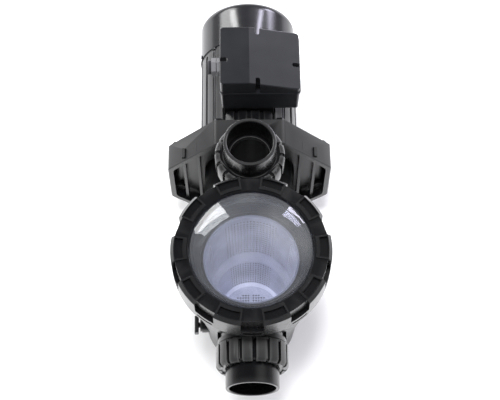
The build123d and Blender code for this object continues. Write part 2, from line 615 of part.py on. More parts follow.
def seal_seat():
    """The fixed ceramic ring of the shaft seal."""
    return ring_y(16, SHAFT_WET_R + 1.5, PLATE_FRONT_Y - 9, PLATE_FRONT_Y - 1)


def seal_head():
    """The turning carbon ring of the shaft seal."""
    return ring_y(13.5, SHAFT_WET_R + FIT, PLATE_FRONT_Y - 17, PLATE_FRONT_Y - 9.2)


def seal_spring():
    """The spring that presses the seal head, as a waved ring."""
    return ring_y(12, SHAFT_WET_R + FIT, -16, PLATE_FRONT_Y - 17)


# ---- fasteners of the housing ------------------------------------------------------------------
def housing_bolts():
    """Eight bolts with their heads behind the seal plate."""
    head_y = BAND_BACK_Y + WASHER_THICK
    tip = WEB_FRONT_Y - BOLT_BOSS + 5
    return [hex_bolt_y(x, z, head_y, tip, BOLT_R, BOLT_HEAD_R, BOLT_HEAD) for x, z in housing_bolt_places()]


def washer_y(x, z):
    """A flat washer behind the seal plate."""
    disc = bar_y(BOLT_HEAD_R, BAND_BACK_Y, BAND_BACK_Y + WASHER_THICK, x, z)
    return disc - bar_y(BOLT_R + FIT, BAND_BACK_Y - 1, BAND_BACK_Y + WASHER_THICK + 1, x, z)


def housing_washers():
    """A washer under each housing bolt."""
    return [washer_y(x, z) for x, z in housing_bolt_places()]


def motor_flange_bolts():
    """Four bolts that hold the motor flange to the seal plate."""
    bolt = hex_bolt_y(FLANGE_BOLT_R, SHAFT_Z, FRAME_FRONT_Y, PLATE_FRONT_Y + 4, BOLT_R, 6, BOLT_HEAD)
    return around(bolt, FRAME_BOLT_ANGLES)


# ---- motor -------------------------------------------------------------------------------------
def motor_frame():
    """The ribbed motor body, with the raised seat of the terminal box."""
    frame = ring_y(FRAME_R, FRAME_BORE_R, FRAME_FRONT_Y, FRAME_BACK_Y)
    depth = FRAME_R - GROOVE_DEPTH
    groove = block(-GROOVE_WIDTH / 2, GROOVE_WIDTH / 2, FRAME_FRONT_Y - 1, FRAME_BACK_Y + 1,
                   SHAFT_Z + depth, SHAFT_Z + FRAME_R + 2)
    pitch = 360 / FRAME_GROOVES
    frame -= around(groove, [pitch * i for i in range(FRAME_GROOVES)])
    seat = block(-PEDESTAL_HALF, PEDESTAL_HALF, PEDESTAL_FRONT_Y, PEDESTAL_BACK_Y, SHAFT_Z + 50, BOX_BOTTOM_Z)
    seat -= bar_y(FRAME_BORE_R + 2, PEDESTAL_FRONT_Y - 1, PEDESTAL_BACK_Y + 1)
    return frame + seat


def front_end_shield():
    """The motor's front flange and bearing housing."""
    start = BAND_BACK_Y
    lip = BEARING_R + 5
    seat = FRONT_BEARING_Y
    bore = BEARING_R + FIT / 2
    outline = [(SHAFT_BEARING_R + 2, start), (FLANGE_R, start), (FLANGE_R, FRAME_FRONT_Y)]
    outline += [(FRAME_BORE_R - FIT, FRAME_FRONT_Y), (FRAME_BORE_R - FIT, FRAME_FRONT_Y + 6)]
    outline += [(FRAME_BORE_R - 5, FRAME_FRONT_Y + 6), (FRAME_BORE_R - 5, FRAME_FRONT_Y)]
    outline += [(lip, FRAME_FRONT_Y), (lip, seat + BEARING_WIDTH), (bore, seat + BEARING_WIDTH)]
    outline += [(bore, seat), (SHAFT_BEARING_R + 2, seat)]
    shield = turned_y(outline)
    hole = bar_y(BOLT_R + SLIP, start - 1, FRAME_FRONT_Y + 1, FLANGE_BOLT_R)
    tap = bar_y(THROUGH_BOLT_SHANK_R + FIT, start + 1, FRAME_FRONT_Y + 1, THROUGH_BOLT_R)
    recess = bar_y(SHAFT_WET_R + 9, start - 1, start + 5)
    return shield - around(hole, FRAME_BOLT_ANGLES) - around(tap, FRAME_BOLT_ANGLES) - recess


def rear_end_shield():
    """The motor's rear bearing housing, which also carries the fan cover."""
    rim = COVER_R - COVER_WALL - FIT
    back = COVER_FRONT_Y + 8
    seat = REAR_BEARING_Y
    end = seat + BEARING_WIDTH + 2
    bore = BEARING_R + FIT / 2
    outline = [(bore, seat), (BEARING_R + 5, seat), (BEARING_R + 5, FRAME_BACK_Y - 4)]
    outline += [(FRAME_BORE_R - 6, FRAME_BACK_Y - 4), (FRAME_BORE_R - 6, FRAME_BACK_Y - 8)]
    outline += [(FRAME_BORE_R - FIT, FRAME_BACK_Y - 8), (FRAME_BORE_R - FIT, FRAME_BACK_Y)]
    outline += [(rim, FRAME_BACK_Y)]
    outline += [(rim, back), (rim - 5, back), (rim - 5, FRAME_BACK_Y + 4), (BEARING_R + 5, FRAME_BACK_Y + 4)]
    outline += [(BEARING_R + 5, end + 3), (SHAFT_BEARING_R + 2, end + 3), (SHAFT_BEARING_R + 2, end)]
    outline += [(bore, end)]
    shield = turned_y(outline)
    hole = bar_y(THROUGH_BOLT_SHANK_R + FIT, FRAME_BACK_Y - 1, back + 1, THROUGH_BOLT_R)
    pocket = bar_y(5, FRAME_BACK_Y + 3, back + 1, THROUGH_BOLT_R)
    shield -= around(hole, FRAME_BOLT_ANGLES) + around(pocket, FRAME_BOLT_ANGLES)
    tap = bar_x(COVER_SCREW_R + FIT, rim - 6, rim + 1, COVER_FRONT_Y + 4, SHAFT_Z)
    return shield - around(tap, COVER_SCREW_ANGLES)


def motor_through_bolts():
    """Four long screws in the frame's grooves that clamp the two end shields."""
    shank = bar_y(THROUGH_BOLT_SHANK_R, BAND_BACK_Y + 3, FRAME_BACK_Y + 3, THROUGH_BOLT_R)
    head = bar_y(4.2, FRAME_BACK_Y + 3, FRAME_BACK_Y + 5.6, THROUGH_BOLT_R)
    return around(shank + head, FRAME_BOLT_ANGLES)


def stator_core():
    """The laminated stator, with slots for the windings."""
    inner = AIR_GAP_R + AIR_GAP
    core = ring_y(FRAME_BORE_R - FIT, inner, CORE_FRONT_Y, CORE_BACK_Y)
    low = SHAFT_Z + inner + WINDING_IN
    slot = block(-2.6, 2.6, CORE_FRONT_Y - 1, CORE_BACK_Y + 1, low, low + WINDING_DEPTH)
    return core - around(slot, range(0, 360, 15))


def stator_windings():
    """Copper in the slots, and the end turns at both ends."""
    inner = AIR_GAP_R + AIR_GAP
    low = SHAFT_Z + inner + WINDING_IN + 0.2
    high = SHAFT_Z + inner + WINDING_IN + WINDING_DEPTH - 0.2
    filling = block(-2.4, 2.4, CORE_FRONT_Y - 1, CORE_BACK_Y + 1, low, high)
    windings = ring_y(inner + 20, inner + 3, CORE_FRONT_Y - END_TURN, CORE_FRONT_Y - FIT)
    windings += ring_y(inner + 20, inner + 3, CORE_BACK_Y + FIT, CORE_BACK_Y + END_TURN)
    return windings + around(filling, range(0, 360, 15))


def rotor_core():
    """The squirrel-cage rotor, with its end rings."""
    core = ring_y(AIR_GAP_R, SHAFT_CORE_R + FIT, CORE_FRONT_Y, CORE_BACK_Y)
    core += ring_y(AIR_GAP_R - 3, 22, CORE_FRONT_Y - 8, CORE_FRONT_Y)
    return core + ring_y(AIR_GAP_R - 3, 22, CORE_BACK_Y, CORE_BACK_Y + 8)


def motor_shaft():
    """The stepped shaft that carries the impeller, the rotor and the fan."""
    thick_from = FRONT_BEARING_Y + BEARING_WIDTH
    thick_to = REAR_BEARING_Y
    outline = [(0, SHAFT_FRONT_Y), (SHAFT_WET_R, SHAFT_FRONT_Y), (SHAFT_WET_R, BAND_BACK_Y + 7)]
    outline += [(SHAFT_BEARING_R, BAND_BACK_Y + 7), (SHAFT_BEARING_R, thick_from), (SHAFT_CORE_R, thick_from)]
    outline += [(SHAFT_CORE_R, thick_to), (SHAFT_BEARING_R, thick_to), (SHAFT_BEARING_R, COVER_FRONT_Y + 8)]
    outline += [(SHAFT_WET_R, COVER_FRONT_Y + 8), (SHAFT_WET_R, SHAFT_BACK_Y), (0, SHAFT_BACK_Y)]
    return turned_y(outline) - bar_y(3 + FIT, SHAFT_FRONT_Y - 1, SHAFT_FRONT_Y + 20)


def bearing_outer(start):
    """The outer race of a ball bearing."""
    return ring_y(BEARING_R, BEARING_R - RACE_WALL, start, start + BEARING_WIDTH)


def bearing_inner(start):
    """The inner race of a ball bearing and its balls."""
    race = SHAFT_BEARING_R + RACE_WALL
    gap = BEARING_R - RACE_WALL - race
    ball = Pos((race + gap / 2), start + BEARING_WIDTH / 2, SHAFT_Z) * Sphere(gap / 2 - FIT)
    inner = ring_y(race, SHAFT_BEARING_R + FIT / 2, start, start + BEARING_WIDTH)
    return [inner] + around(ball, [360 / BALLS * i for i in range(BALLS)])


def wave_washer():
    """The spring washer that loads the rear bearing."""
    start = REAR_BEARING_Y + BEARING_WIDTH
    return ring_y(BEARING_R - 0.5, BEARING_R - RACE_WALL, start, start + 2)


def slinger():
    """The rubber disc that throws water off the shaft."""
    return ring_y(SHAFT_WET_R + 7, SHAFT_WET_R + FIT, BAND_BACK_Y + 0.7, BAND_BACK_Y + 3.7)


def fan():
    """The cooling fan."""
    hub_from, hub_to = COVER_FRONT_Y + 14, SHAFT_BACK_Y - 2
    hub = ring_y(14, SHAFT_WET_R + FIT, hub_from, hub_to)
    disc = ring_y(FAN_R, 13, hub_from, hub_from + 3)
    blade = block(12, FAN_R - 1, hub_from + 2, hub_to + 6, SHAFT_Z - 1.5, SHAFT_Z + 1.5)
    return hub + disc + around(blade, [360 / FAN_BLADES * i for i in range(FAN_BLADES)])


def fan_cover():
    """The cowl over the fan, with air slots in its back."""
    r, wall, front, back, bend = COVER_R, COVER_WALL, COVER_FRONT_Y, COVER_BACK_Y, COVER_ROUND
    share = 1 - cos(pi / 4)
    outer = ThreePointArc((r, back - bend), (r - bend * share, back - bend * share), (r - bend, back))
    small = bend - wall
    inner = ThreePointArc((r - wall, back - bend), (r - wall - small * share, back - wall - small * share),
                          (r - bend, back - wall))
    lines = [outer, Line((r - bend, back), (0, back)), Line((0, back), (0, back - wall))]
    lines += [Line((0, back - wall), (r - bend, back - wall)), inner]
    lines += [Line((r - wall, back - bend), (r - wall, front)), Line((r - wall, front), (r, front))]
    lines += [Line((r, front), (r, back - bend))]
    cover = Pos(0, 0, SHAFT_Z) * revolve(make_face(Curve() + lines), Axis.Y)
    short = block(18, 32, back - 5, back + 1, SHAFT_Z - 1.6, SHAFT_Z + 1.6)
    long = block(36, r - bend - 2, back - 5, back + 1, SHAFT_Z - 1.6, SHAFT_Z + 1.6)
    cover -= around(short, range(0, 360, 20)) + around(long, range(0, 360, 12))
    hole = bar_x(COVER_SCREW_R + SLIP, r - 4, r + 2, front + 4, SHAFT_Z)
    return cover - around(hole, COVER_SCREW_ANGLES)


def fan_cover_screws():
    """Four small screws that hold the fan cover."""
    screw = bar_x(COVER_SCREW_R, COVER_R - 7, COVER_R, COVER_FRONT_Y + 4, SHAFT_Z)
    screw += bar_x(2.8, COVER_R, COVER_R + 1.2, COVER_FRONT_Y + 4, SHAFT_Z)
    return around(screw, COVER_SCREW_ANGLES)


# ---- terminal box ------------------------------------------------------------------------------
def box_screw_places():
    """(x, y) of the cover's four screws, one at the middle of each side."""
    inset = BOX_SCREW_INSET
    return [(NOTCH_X, BOX_FRONT_Y + inset), (NOTCH_X, BOX_BACK_Y - inset),
            (BOX_LEFT + inset, SIDE_NOTCH_Y), (BOX_RIGHT - inset, SIDE_NOTCH_Y)]


def box_outline(inset):
    """The box's rounded rectangle, moved inwards."""
    width = BOX_RIGHT - BOX_LEFT - 2 * inset
    depth = BOX_BACK_Y - BOX_FRONT_Y - 2 * inset
    sheet = RectangleRounded(width, depth, max(BOX_CORNER_R - inset, 1.0))
    return Pos((BOX_LEFT + BOX_RIGHT) / 2, BOX_MIDDLE_Y, 0) * sheet


def terminal_box_base():
    """The lower half of the box, on the motor frame."""
    top = BOX_PARTING_Z - GASKET_THICK
    height = top - BOX_BOTTOM_Z
    base = extrude(Pos(0, 0, top) * box_outline(0), height, dir=(0, 0, -1), taper=2)
    inside = extrude(Pos(0, 0, top) * box_outline(BOX_WALL), height - BOX_WALL, dir=(0, 0, -1), taper=2)
    base -= inside
    for x, y in box_screw_places():
        base += post(BOX_SCREW_INSET - 2, BOX_BOTTOM_Z + 1, top, x, y)
    for x, y in box_screw_places():
        base -= post(BOX_SCREW_R + FIT, top - 16, top + 1, x, y)
    base -= bar_x(GLAND_THREAD_R + FIT, BOX_LEFT - 1, BOX_LEFT + 10, GLAND_Y, GLAND_Z)
    return base


def terminal_box_cover():
    """The cover: level on the gland's side, then sloping down, with four screw notches."""
    profile = [(BOX_LEFT, BOX_PARTING_Z), (BOX_LEFT, BOX_HIGH_Z), (BOX_RIDGE_X, BOX_HIGH_Z)]
    profile += [(BOX_RIGHT, BOX_LOW_Z), (BOX_RIGHT, BOX_PARTING_Z)]
    face = Plane.XZ * make_face(Polyline(*profile, close=True))
    wedge = extrude(face, BOX_BACK_Y + 20, dir=(0, 1, 0))
    tall = BOX_HIGH_Z + 10
    outer = wedge & extrude(Pos(0, 0, BOX_PARTING_Z) * box_outline(0), tall - BOX_PARTING_Z)
    outer = fillet(outer.faces().filter_by(lambda f: f.normal_at().Z > 0.5).edges(), 1.4)
    room = extrude(Pos(0, 0, BOX_PARTING_Z - 1) * box_outline(BOX_WALL), tall - BOX_PARTING_Z)
    cover = outer - (Pos(0, 0, -BOX_WALL) * wedge & room)
    floor = BOX_PARTING_Z + NOTCH_FLOOR
    half = NOTCH_PILLAR / 2
    pillars = []
    for x, y in box_screw_places():
        pillars.append(block(x - half, x + half, y - half, y + half, BOX_PARTING_Z, tall))
    cover += joined(pillars) & outer
    for x, y in box_screw_places():
        on_side = y == SIDE_NOTCH_Y
        across = (1 if x > NOTCH_X else -1) if on_side else 0
        along = 0 if on_side else (1 if y > SIDE_NOTCH_Y else -1)
        cover -= post(3.3, floor, tall, x, y)
        cut = Pos(x + across * 6, y + along * 6, (floor + tall) / 2)
        cover -= cut * Box(6.6 if along else 12, 6.6 if across else 12, tall - floor)
        cover -= post(BOX_SCREW_R + FIT, BOX_PARTING_Z - 1, floor + 1, x, y)
    return cover


def terminal_box_gasket():
    """The flat gasket between the box's halves."""
    low = BOX_PARTING_Z - GASKET_THICK
    sheet = extrude(Pos(0, 0, low) * box_outline(0.6), GASKET_THICK)
    sheet -= extrude(Pos(0, 0, low) * box_outline(BOX_WALL - 0.4), GASKET_THICK)
    return sheet - [post(BOX_SCREW_INSET - 1.5, low - 1, low + 2, x, y) for x, y in box_screw_places()]


def terminal_box_screws():
    """The four cover screws, deep in their notches."""
    floor = BOX_PARTING_Z + NOTCH_FLOOR
    bottom = BOX_PARTING_Z - 15
    screws = []
    for x, y in box_screw_places():
        screws.append(post(3.1, floor, floor + 2.4, x, y) + post(BOX_SCREW_R, bottom, floor, x, y))
    return screws


def terminal_block():
    """The screw terminals on the box's floor."""
    floor = BOX_BOTTOM_Z + BOX_WALL
    strip = block(-26, 8, 92, 108, floor, floor + 16)
    strip -= [post(2.2, floor + 8, floor + 17, x, 100) for x in (-21, -9, 3)]
    return strip


def run_capacitor():
    """The motor's run capacitor, lying on the box's floor."""
    height = BOX_BOTTOM_Z + BOX_WALL + CAPACITOR_R
    start = BOX_FRONT_Y + 16
    can = bar_y(CAPACITOR_R, start, start + CAPACITOR_LENGTH, CAPACITOR_X, height)
    return can + bar_y(4, start - 4, start, CAPACITOR_X, height)


def gland_hexagon(radius, start, end):
    """A hexagonal prism along X on the gland's axis."""
    prism = extrude(RegularPolygon(radius, 6), end - start)
    return Pos(start, GLAND_Y, GLAND_Z) * Rot(0, 90, 0) * prism


def cable_gland_body():
    """The gland's threaded body, through the box wall."""
    body = gland_hexagon(GLAND_R + 1.4, BOX_LEFT - 6, BOX_LEFT)
    body += bar_x(GLAND_THREAD_R, BOX_LEFT - 14, BOX_LEFT + 9, GLAND_Y, GLAND_Z)
    return body - bar_x(GLAND_CABLE_R, BOX_LEFT - 15, BOX_LEFT + 10, GLAND_Y, GLAND_Z)


def cable_gland_nut():
    """The dome nut that squeezes the gland's seal."""
    start = BOX_LEFT - 7
    nut = gland_hexagon(GLAND_R + 1.2, start - 7, start)
    nut += bar_x(GLAND_R - 1.5, GLAND_END_X, start, GLAND_Y, GLAND_Z)
    nut -= bar_x(GLAND_THREAD_R + THREAD_GAP, BOX_LEFT - 15.5, start + 1, GLAND_Y, GLAND_Z)
    return nut - bar_x(GLAND_CABLE_R, GLAND_END_X - 1, start, GLAND_Y, GLAND_Z)


def cable_gland_seal():
    """The rubber ring that grips the cable."""
    ring = bar_x(GLAND_THREAD_R, BOX_LEFT - 15.4, BOX_LEFT - 14.1, GLAND_Y, GLAND_Z)
    return ring - bar_x(GLAND_CABLE_R, BOX_LEFT - 16, BOX_LEFT - 13, GLAND_Y, GLAND_Z)


def cable_gland_locknut():
    """The nut inside the box that holds the gland."""
    start = BOX_LEFT + BOX_WALL + 2.2
    nut = gland_hexagon(11, start, start + 3.5)
    return nut - bar_x(GLAND_THREAD_R + FIT, start - 1, start + 5, GLAND_Y, GLAND_Z)


# ---- feet --------------------------------------------------------------------------------------
def pump_foot():
    """The floor plate under the octagonal band, with four bolt holes."""
    plate = block(-FOOT_HALF_X, FOOT_HALF_X, -FOOT_HALF_Y, FOOT_HALF_Y, 0, FOOT_PLATE)
    plate = fillet(plate.edges().filter_by(Axis.Z), 14)
    half = BAND_FLAT - 6
    plate += block(-half, half, BAND_FRONT_Y + 1, BAND_BACK_Y - 1, FOOT_PLATE - 1, BAND_BOTTOM_Z)
    for x in (-FLOOR_BOLT_X, FLOOR_BOLT_X):
        for y in (-FLOOR_BOLT_Y, FLOOR_BOLT_Y):
            plate -= post(FLOOR_BOLT_R, -1, FOOT_PLATE + 1, x, y)
    for x in (-FOOT_SCREW_X, FOOT_SCREW_X):
        plate -= post(FOOT_SCREW_R + SLIP, -1, BAND_BOTTOM_Z + 1, x, FOOT_SCREW_Y)
        plate -= post(FOOT_SCREW_HEAD_R + SLIP, -1, 5, x, FOOT_SCREW_Y)
    return plate


def foot_screws():
    """Two screws from below that hold the pump body to its foot."""
    screws = []
    for x in (-FOOT_SCREW_X, FOOT_SCREW_X):
        head = post(FOOT_SCREW_HEAD_R, 2, 5, x, FOOT_SCREW_Y)
        screws.append(head + post(FOOT_SCREW_R, 5, BAND_BOTTOM_Z + 13, x, FOOT_SCREW_Y))
    return screws


def motor_foot():
    """The saddle under the motor."""
    y0, y1 = MOTOR_FOOT_FRONT_Y, MOTOR_FOOT_BACK_Y
    half = MOTOR_FOOT_HALF
    low = MOTOR_PAD_THICK
    foot = block(-half, half, y0, y1, low, low + 6)
    foot += block(-half + 12, half - 12, y0 + 4, y1 - 4, low + 5, SHAFT_Z - 40)
    foot -= bar_y(FRAME_R + FIT, y0 - 1, y1 + 1)
    foot -= block(-30, 30, y0 - 1, y1 + 1, low + 18, SHAFT_Z - FRAME_R - 8)
    return foot


def motor_foot_pad():
    """The rubber pad under the motor's saddle."""
    pad = block(-MOTOR_FOOT_HALF, MOTOR_FOOT_HALF, MOTOR_FOOT_FRONT_Y, MOTOR_FOOT_BACK_Y, 0, MOTOR_PAD_THICK)
    return fillet(pad.edges().filter_by(Axis.Z), 4)


# ---- drain plugs -------------------------------------------------------------------------------
def drain_plug(x, y, z):
    """A plug with a T-shaped wing, screwed into a boss that faces -X."""
    plug = bar_x(DRAIN_R, x, x + 14, y, z) + bar_x(DRAIN_FLANGE_R, x - 3, x, y, z)
    plug += bar_x(4, x - 7, x - 2, y, z)
    wing = block(x - 11.5, x - 5.5, y - WING_HALF, y + WING_HALF, z - WING_THICK / 2, z + WING_THICK / 2)
    return plug + fillet(wing.edges().filter_by(Axis.Y), 2)


def drain_seal(x, y, z):
    """The O-ring under a drain plug's flange."""
    return Pos(x + SEAL_CORD_R, y, z) * Rot(0, 90, 0) * Torus(DRAIN_R + SEAL_CORD_R + 0.1, SEAL_CORD_R)


def drain_pieces(name, x, y, z):
    """Both pieces of one drain, by node name."""
    return {f"{name}_drain_plug": drain_plug(x, y, z), f"{name}_drain_oring": drain_seal(x, y, z)}


# ---- every node --------------------------------------------------------------------------------
def all_parts():
    """Every node by name."""
    seal_height = THREAD_LENGTH - SEAL_CORD_R
    parts = {
        "strainer_pot": strainer_pot(),
        "pump_housing": pump_housing(),
        "seal_plate": seal_plate(),
        "seal_plate_oring": seal_plate_oring(),
        "housing_bolts": housing_bolts(),
        "housing_washers": housing_washers(),
        "diffuser": diffuser(),
        "impeller": impeller(),
        "impeller_screw": impeller_screw(),
        "seal_seat": seal_seat(),
        "seal_head": seal_head(),
        "seal_spring": seal_spring(),
        "suction_tailpiece": suction_frame() * union_tail(SUCTION_TAIL),
        "suction_oring": suction_frame() * seal_ring(UNION_SEAL_R, seal_height),
        "suction_nut": suction_frame() * union_nut(),
        "discharge_tailpiece": discharge_frame() * union_tail(DISCHARGE_TAIL),
        "discharge_oring": discharge_frame() * seal_ring(UNION_SEAL_R, seal_height),
        "discharge_nut": discharge_frame() * union_nut(),
        "strainer_basket": strainer_basket(),
        "strainer_lid": strainer_lid(),
        "lid_oring": Pos(0, POT_Y, RIM_TOP_Z - SEAL_CORD_R) * Torus(RIM_SEAL_R, SEAL_CORD_R),
        "lock_ring": lock_ring(),
        "motor_frame": motor_frame(),
        "front_end_shield": front_end_shield(),
        "rear_end_shield": rear_end_shield(),
        "motor_through_bolts": motor_through_bolts(),
        "motor_flange_bolts": motor_flange_bolts(),
        "stator_core": stator_core(),
        "stator_windings": stator_windings(),
        "rotor_core": rotor_core(),
        "motor_shaft": motor_shaft(),
        "front_bearing_outer": bearing_outer(FRONT_BEARING_Y),
        "front_bearing_inner": bearing_inner(FRONT_BEARING_Y),
        "rear_bearing_outer": bearing_outer(REAR_BEARING_Y),
        "rear_bearing_inner": bearing_inner(REAR_BEARING_Y),
        "wave_washer": wave_washer(),
        "slinger": slinger(),
        "fan": fan(),
        "fan_cover": fan_cover(),
        "fan_cover_screws": fan_cover_screws(),
        "terminal_box_base": terminal_box_base(),
        "terminal_box_cover": terminal_box_cover(),
        "terminal_box_gasket": terminal_box_gasket(),
        "terminal_box_screws": terminal_box_screws(),
        "terminal_block": terminal_block(),
        "run_capacitor": run_capacitor(),
        "cable_gland_body": cable_gland_body(),
        "cable_gland_nut": cable_gland_nut(),
        "cable_gland_seal": cable_gland_seal(),
        "cable_gland_locknut": cable_gland_locknut(),
        "pump_foot": pump_foot(),
        "foot_screws": foot_screws(),
        "motor_foot": motor_foot(),
        "motor_foot_pad": motor_foot_pad(),
    }
    parts.update(drain_pieces("strainer", STRAINER_DRAIN_X, STRAINER_DRAIN_Y, STRAINER_DRAIN_Z))
    parts.update(drain_pieces("volute", VOLUTE_DRAIN_X, VOLUTE_DRAIN_Y, VOLUTE_DRAIN_Z))
    return parts


os.makedirs("parts", exist_ok=True)
for node, shape in all_parts().items():
    whole = Compound(children=list(shape)) if isinstance(shape, list) else shape
    export_step(whole, f"parts/{node}.step")
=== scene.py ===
"""Dresses the pool pump: mouldings, clear lid, perforated basket, motor, terminal box and studio.

The construction comes from the frame. Sizes are in metres, or read from the frame. Only rounded()
takes millimetres.
"""

import json
import logging
import math
from collections.abc import Callable
from dataclasses import dataclass, field
from enum import Enum, IntEnum

import bpy
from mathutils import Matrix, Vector

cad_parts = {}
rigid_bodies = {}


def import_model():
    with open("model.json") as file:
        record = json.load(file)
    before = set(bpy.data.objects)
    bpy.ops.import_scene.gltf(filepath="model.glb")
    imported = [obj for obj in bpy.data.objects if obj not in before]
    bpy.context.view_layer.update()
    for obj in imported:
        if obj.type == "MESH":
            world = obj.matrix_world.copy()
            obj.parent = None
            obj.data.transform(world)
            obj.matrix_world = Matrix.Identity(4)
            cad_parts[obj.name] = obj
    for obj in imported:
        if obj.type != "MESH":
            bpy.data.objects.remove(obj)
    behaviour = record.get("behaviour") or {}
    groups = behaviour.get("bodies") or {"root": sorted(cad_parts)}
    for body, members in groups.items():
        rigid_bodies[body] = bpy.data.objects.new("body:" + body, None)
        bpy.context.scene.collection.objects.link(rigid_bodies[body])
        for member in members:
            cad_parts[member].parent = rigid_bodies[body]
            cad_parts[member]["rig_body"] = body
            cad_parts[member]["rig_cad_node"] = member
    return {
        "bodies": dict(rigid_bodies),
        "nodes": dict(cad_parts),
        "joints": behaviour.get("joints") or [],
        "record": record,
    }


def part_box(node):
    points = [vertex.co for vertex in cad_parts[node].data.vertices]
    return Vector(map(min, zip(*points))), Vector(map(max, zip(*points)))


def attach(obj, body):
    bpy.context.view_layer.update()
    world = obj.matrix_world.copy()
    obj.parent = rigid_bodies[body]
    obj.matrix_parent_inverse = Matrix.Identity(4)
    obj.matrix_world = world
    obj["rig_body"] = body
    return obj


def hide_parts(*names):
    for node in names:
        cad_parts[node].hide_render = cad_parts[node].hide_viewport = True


MM = 0.001
LOG = logging.getLogger("pool_pump")

Colour = tuple[float, float, float]
Direction = tuple[float, float, float]
Points = list[tuple[float, float]]

# Angles in degrees. Neighbouring triangles that turn less than FLAT are one face. An edge that
# turns more than CREASE is rounded, and is shaded sharp unless its sub-assembly says otherwise.
FLAT = 0.6
CREASE = 32.0
# Corners nearer than this are one: of a node's triangles, and of a turned piece.
NODE_WELD = 0.01 * MM
LATHE_WELD = 0.02 * MM
# A face lies level where its normal's height is over this.
LEVEL = 0.9

# What the finishes share.
SURFACE_IOR = 1.46
BROAD_SCALE = 28.0  # the broad noise that varies roughness and colour
BROAD_DETAIL = 4.0
TONE_STOPS = (0.3, 0.7)  # where on that noise the darkest and the lightest tone lie
TONE_SHARES = (0.86, 1.14)  # those tones, as shares of the base colour
# Painted highlight: convex edges, found by pointiness, are lightened in place of the light that
# their bevels catch.
EDGE_HIGHLIGHT_POINTINESS = (0.505, 0.56)  # where a convex edge starts to get its painted highlight, and where it is full
EDGE_HIGHLIGHT_GAIN = 3  # colour of the painted edge highlight, from the base colour
EDGE_HIGHLIGHT_LIFT = 0.09
GRAIN_DETAIL = 2.0
BUMP_DEPTH = 0.2  # as a share of the grain
BRUSHED = (1.0, 0.08, 1.0)  # how the grain of metal is stretched
CLEAR_SHADOW = (0.93, 0.94, 0.97, 1)  # light that has passed a clear piece


class Surface(Enum):
    """How a surface takes the light."""

    MOULDED = "moulded"
    PAINTED = "painted"
    METAL = "metal"
    RUBBER = "rubber"
    CLEAR = "clear"


def toned(colour: Colour, gain: float, lift: float = 0.0) -> tuple[float, ...]:
    """A colour scaled and lifted, to white at most, with full opacity."""
    return (*[min(1.0, gain * c + lift) for c in colour], 1)


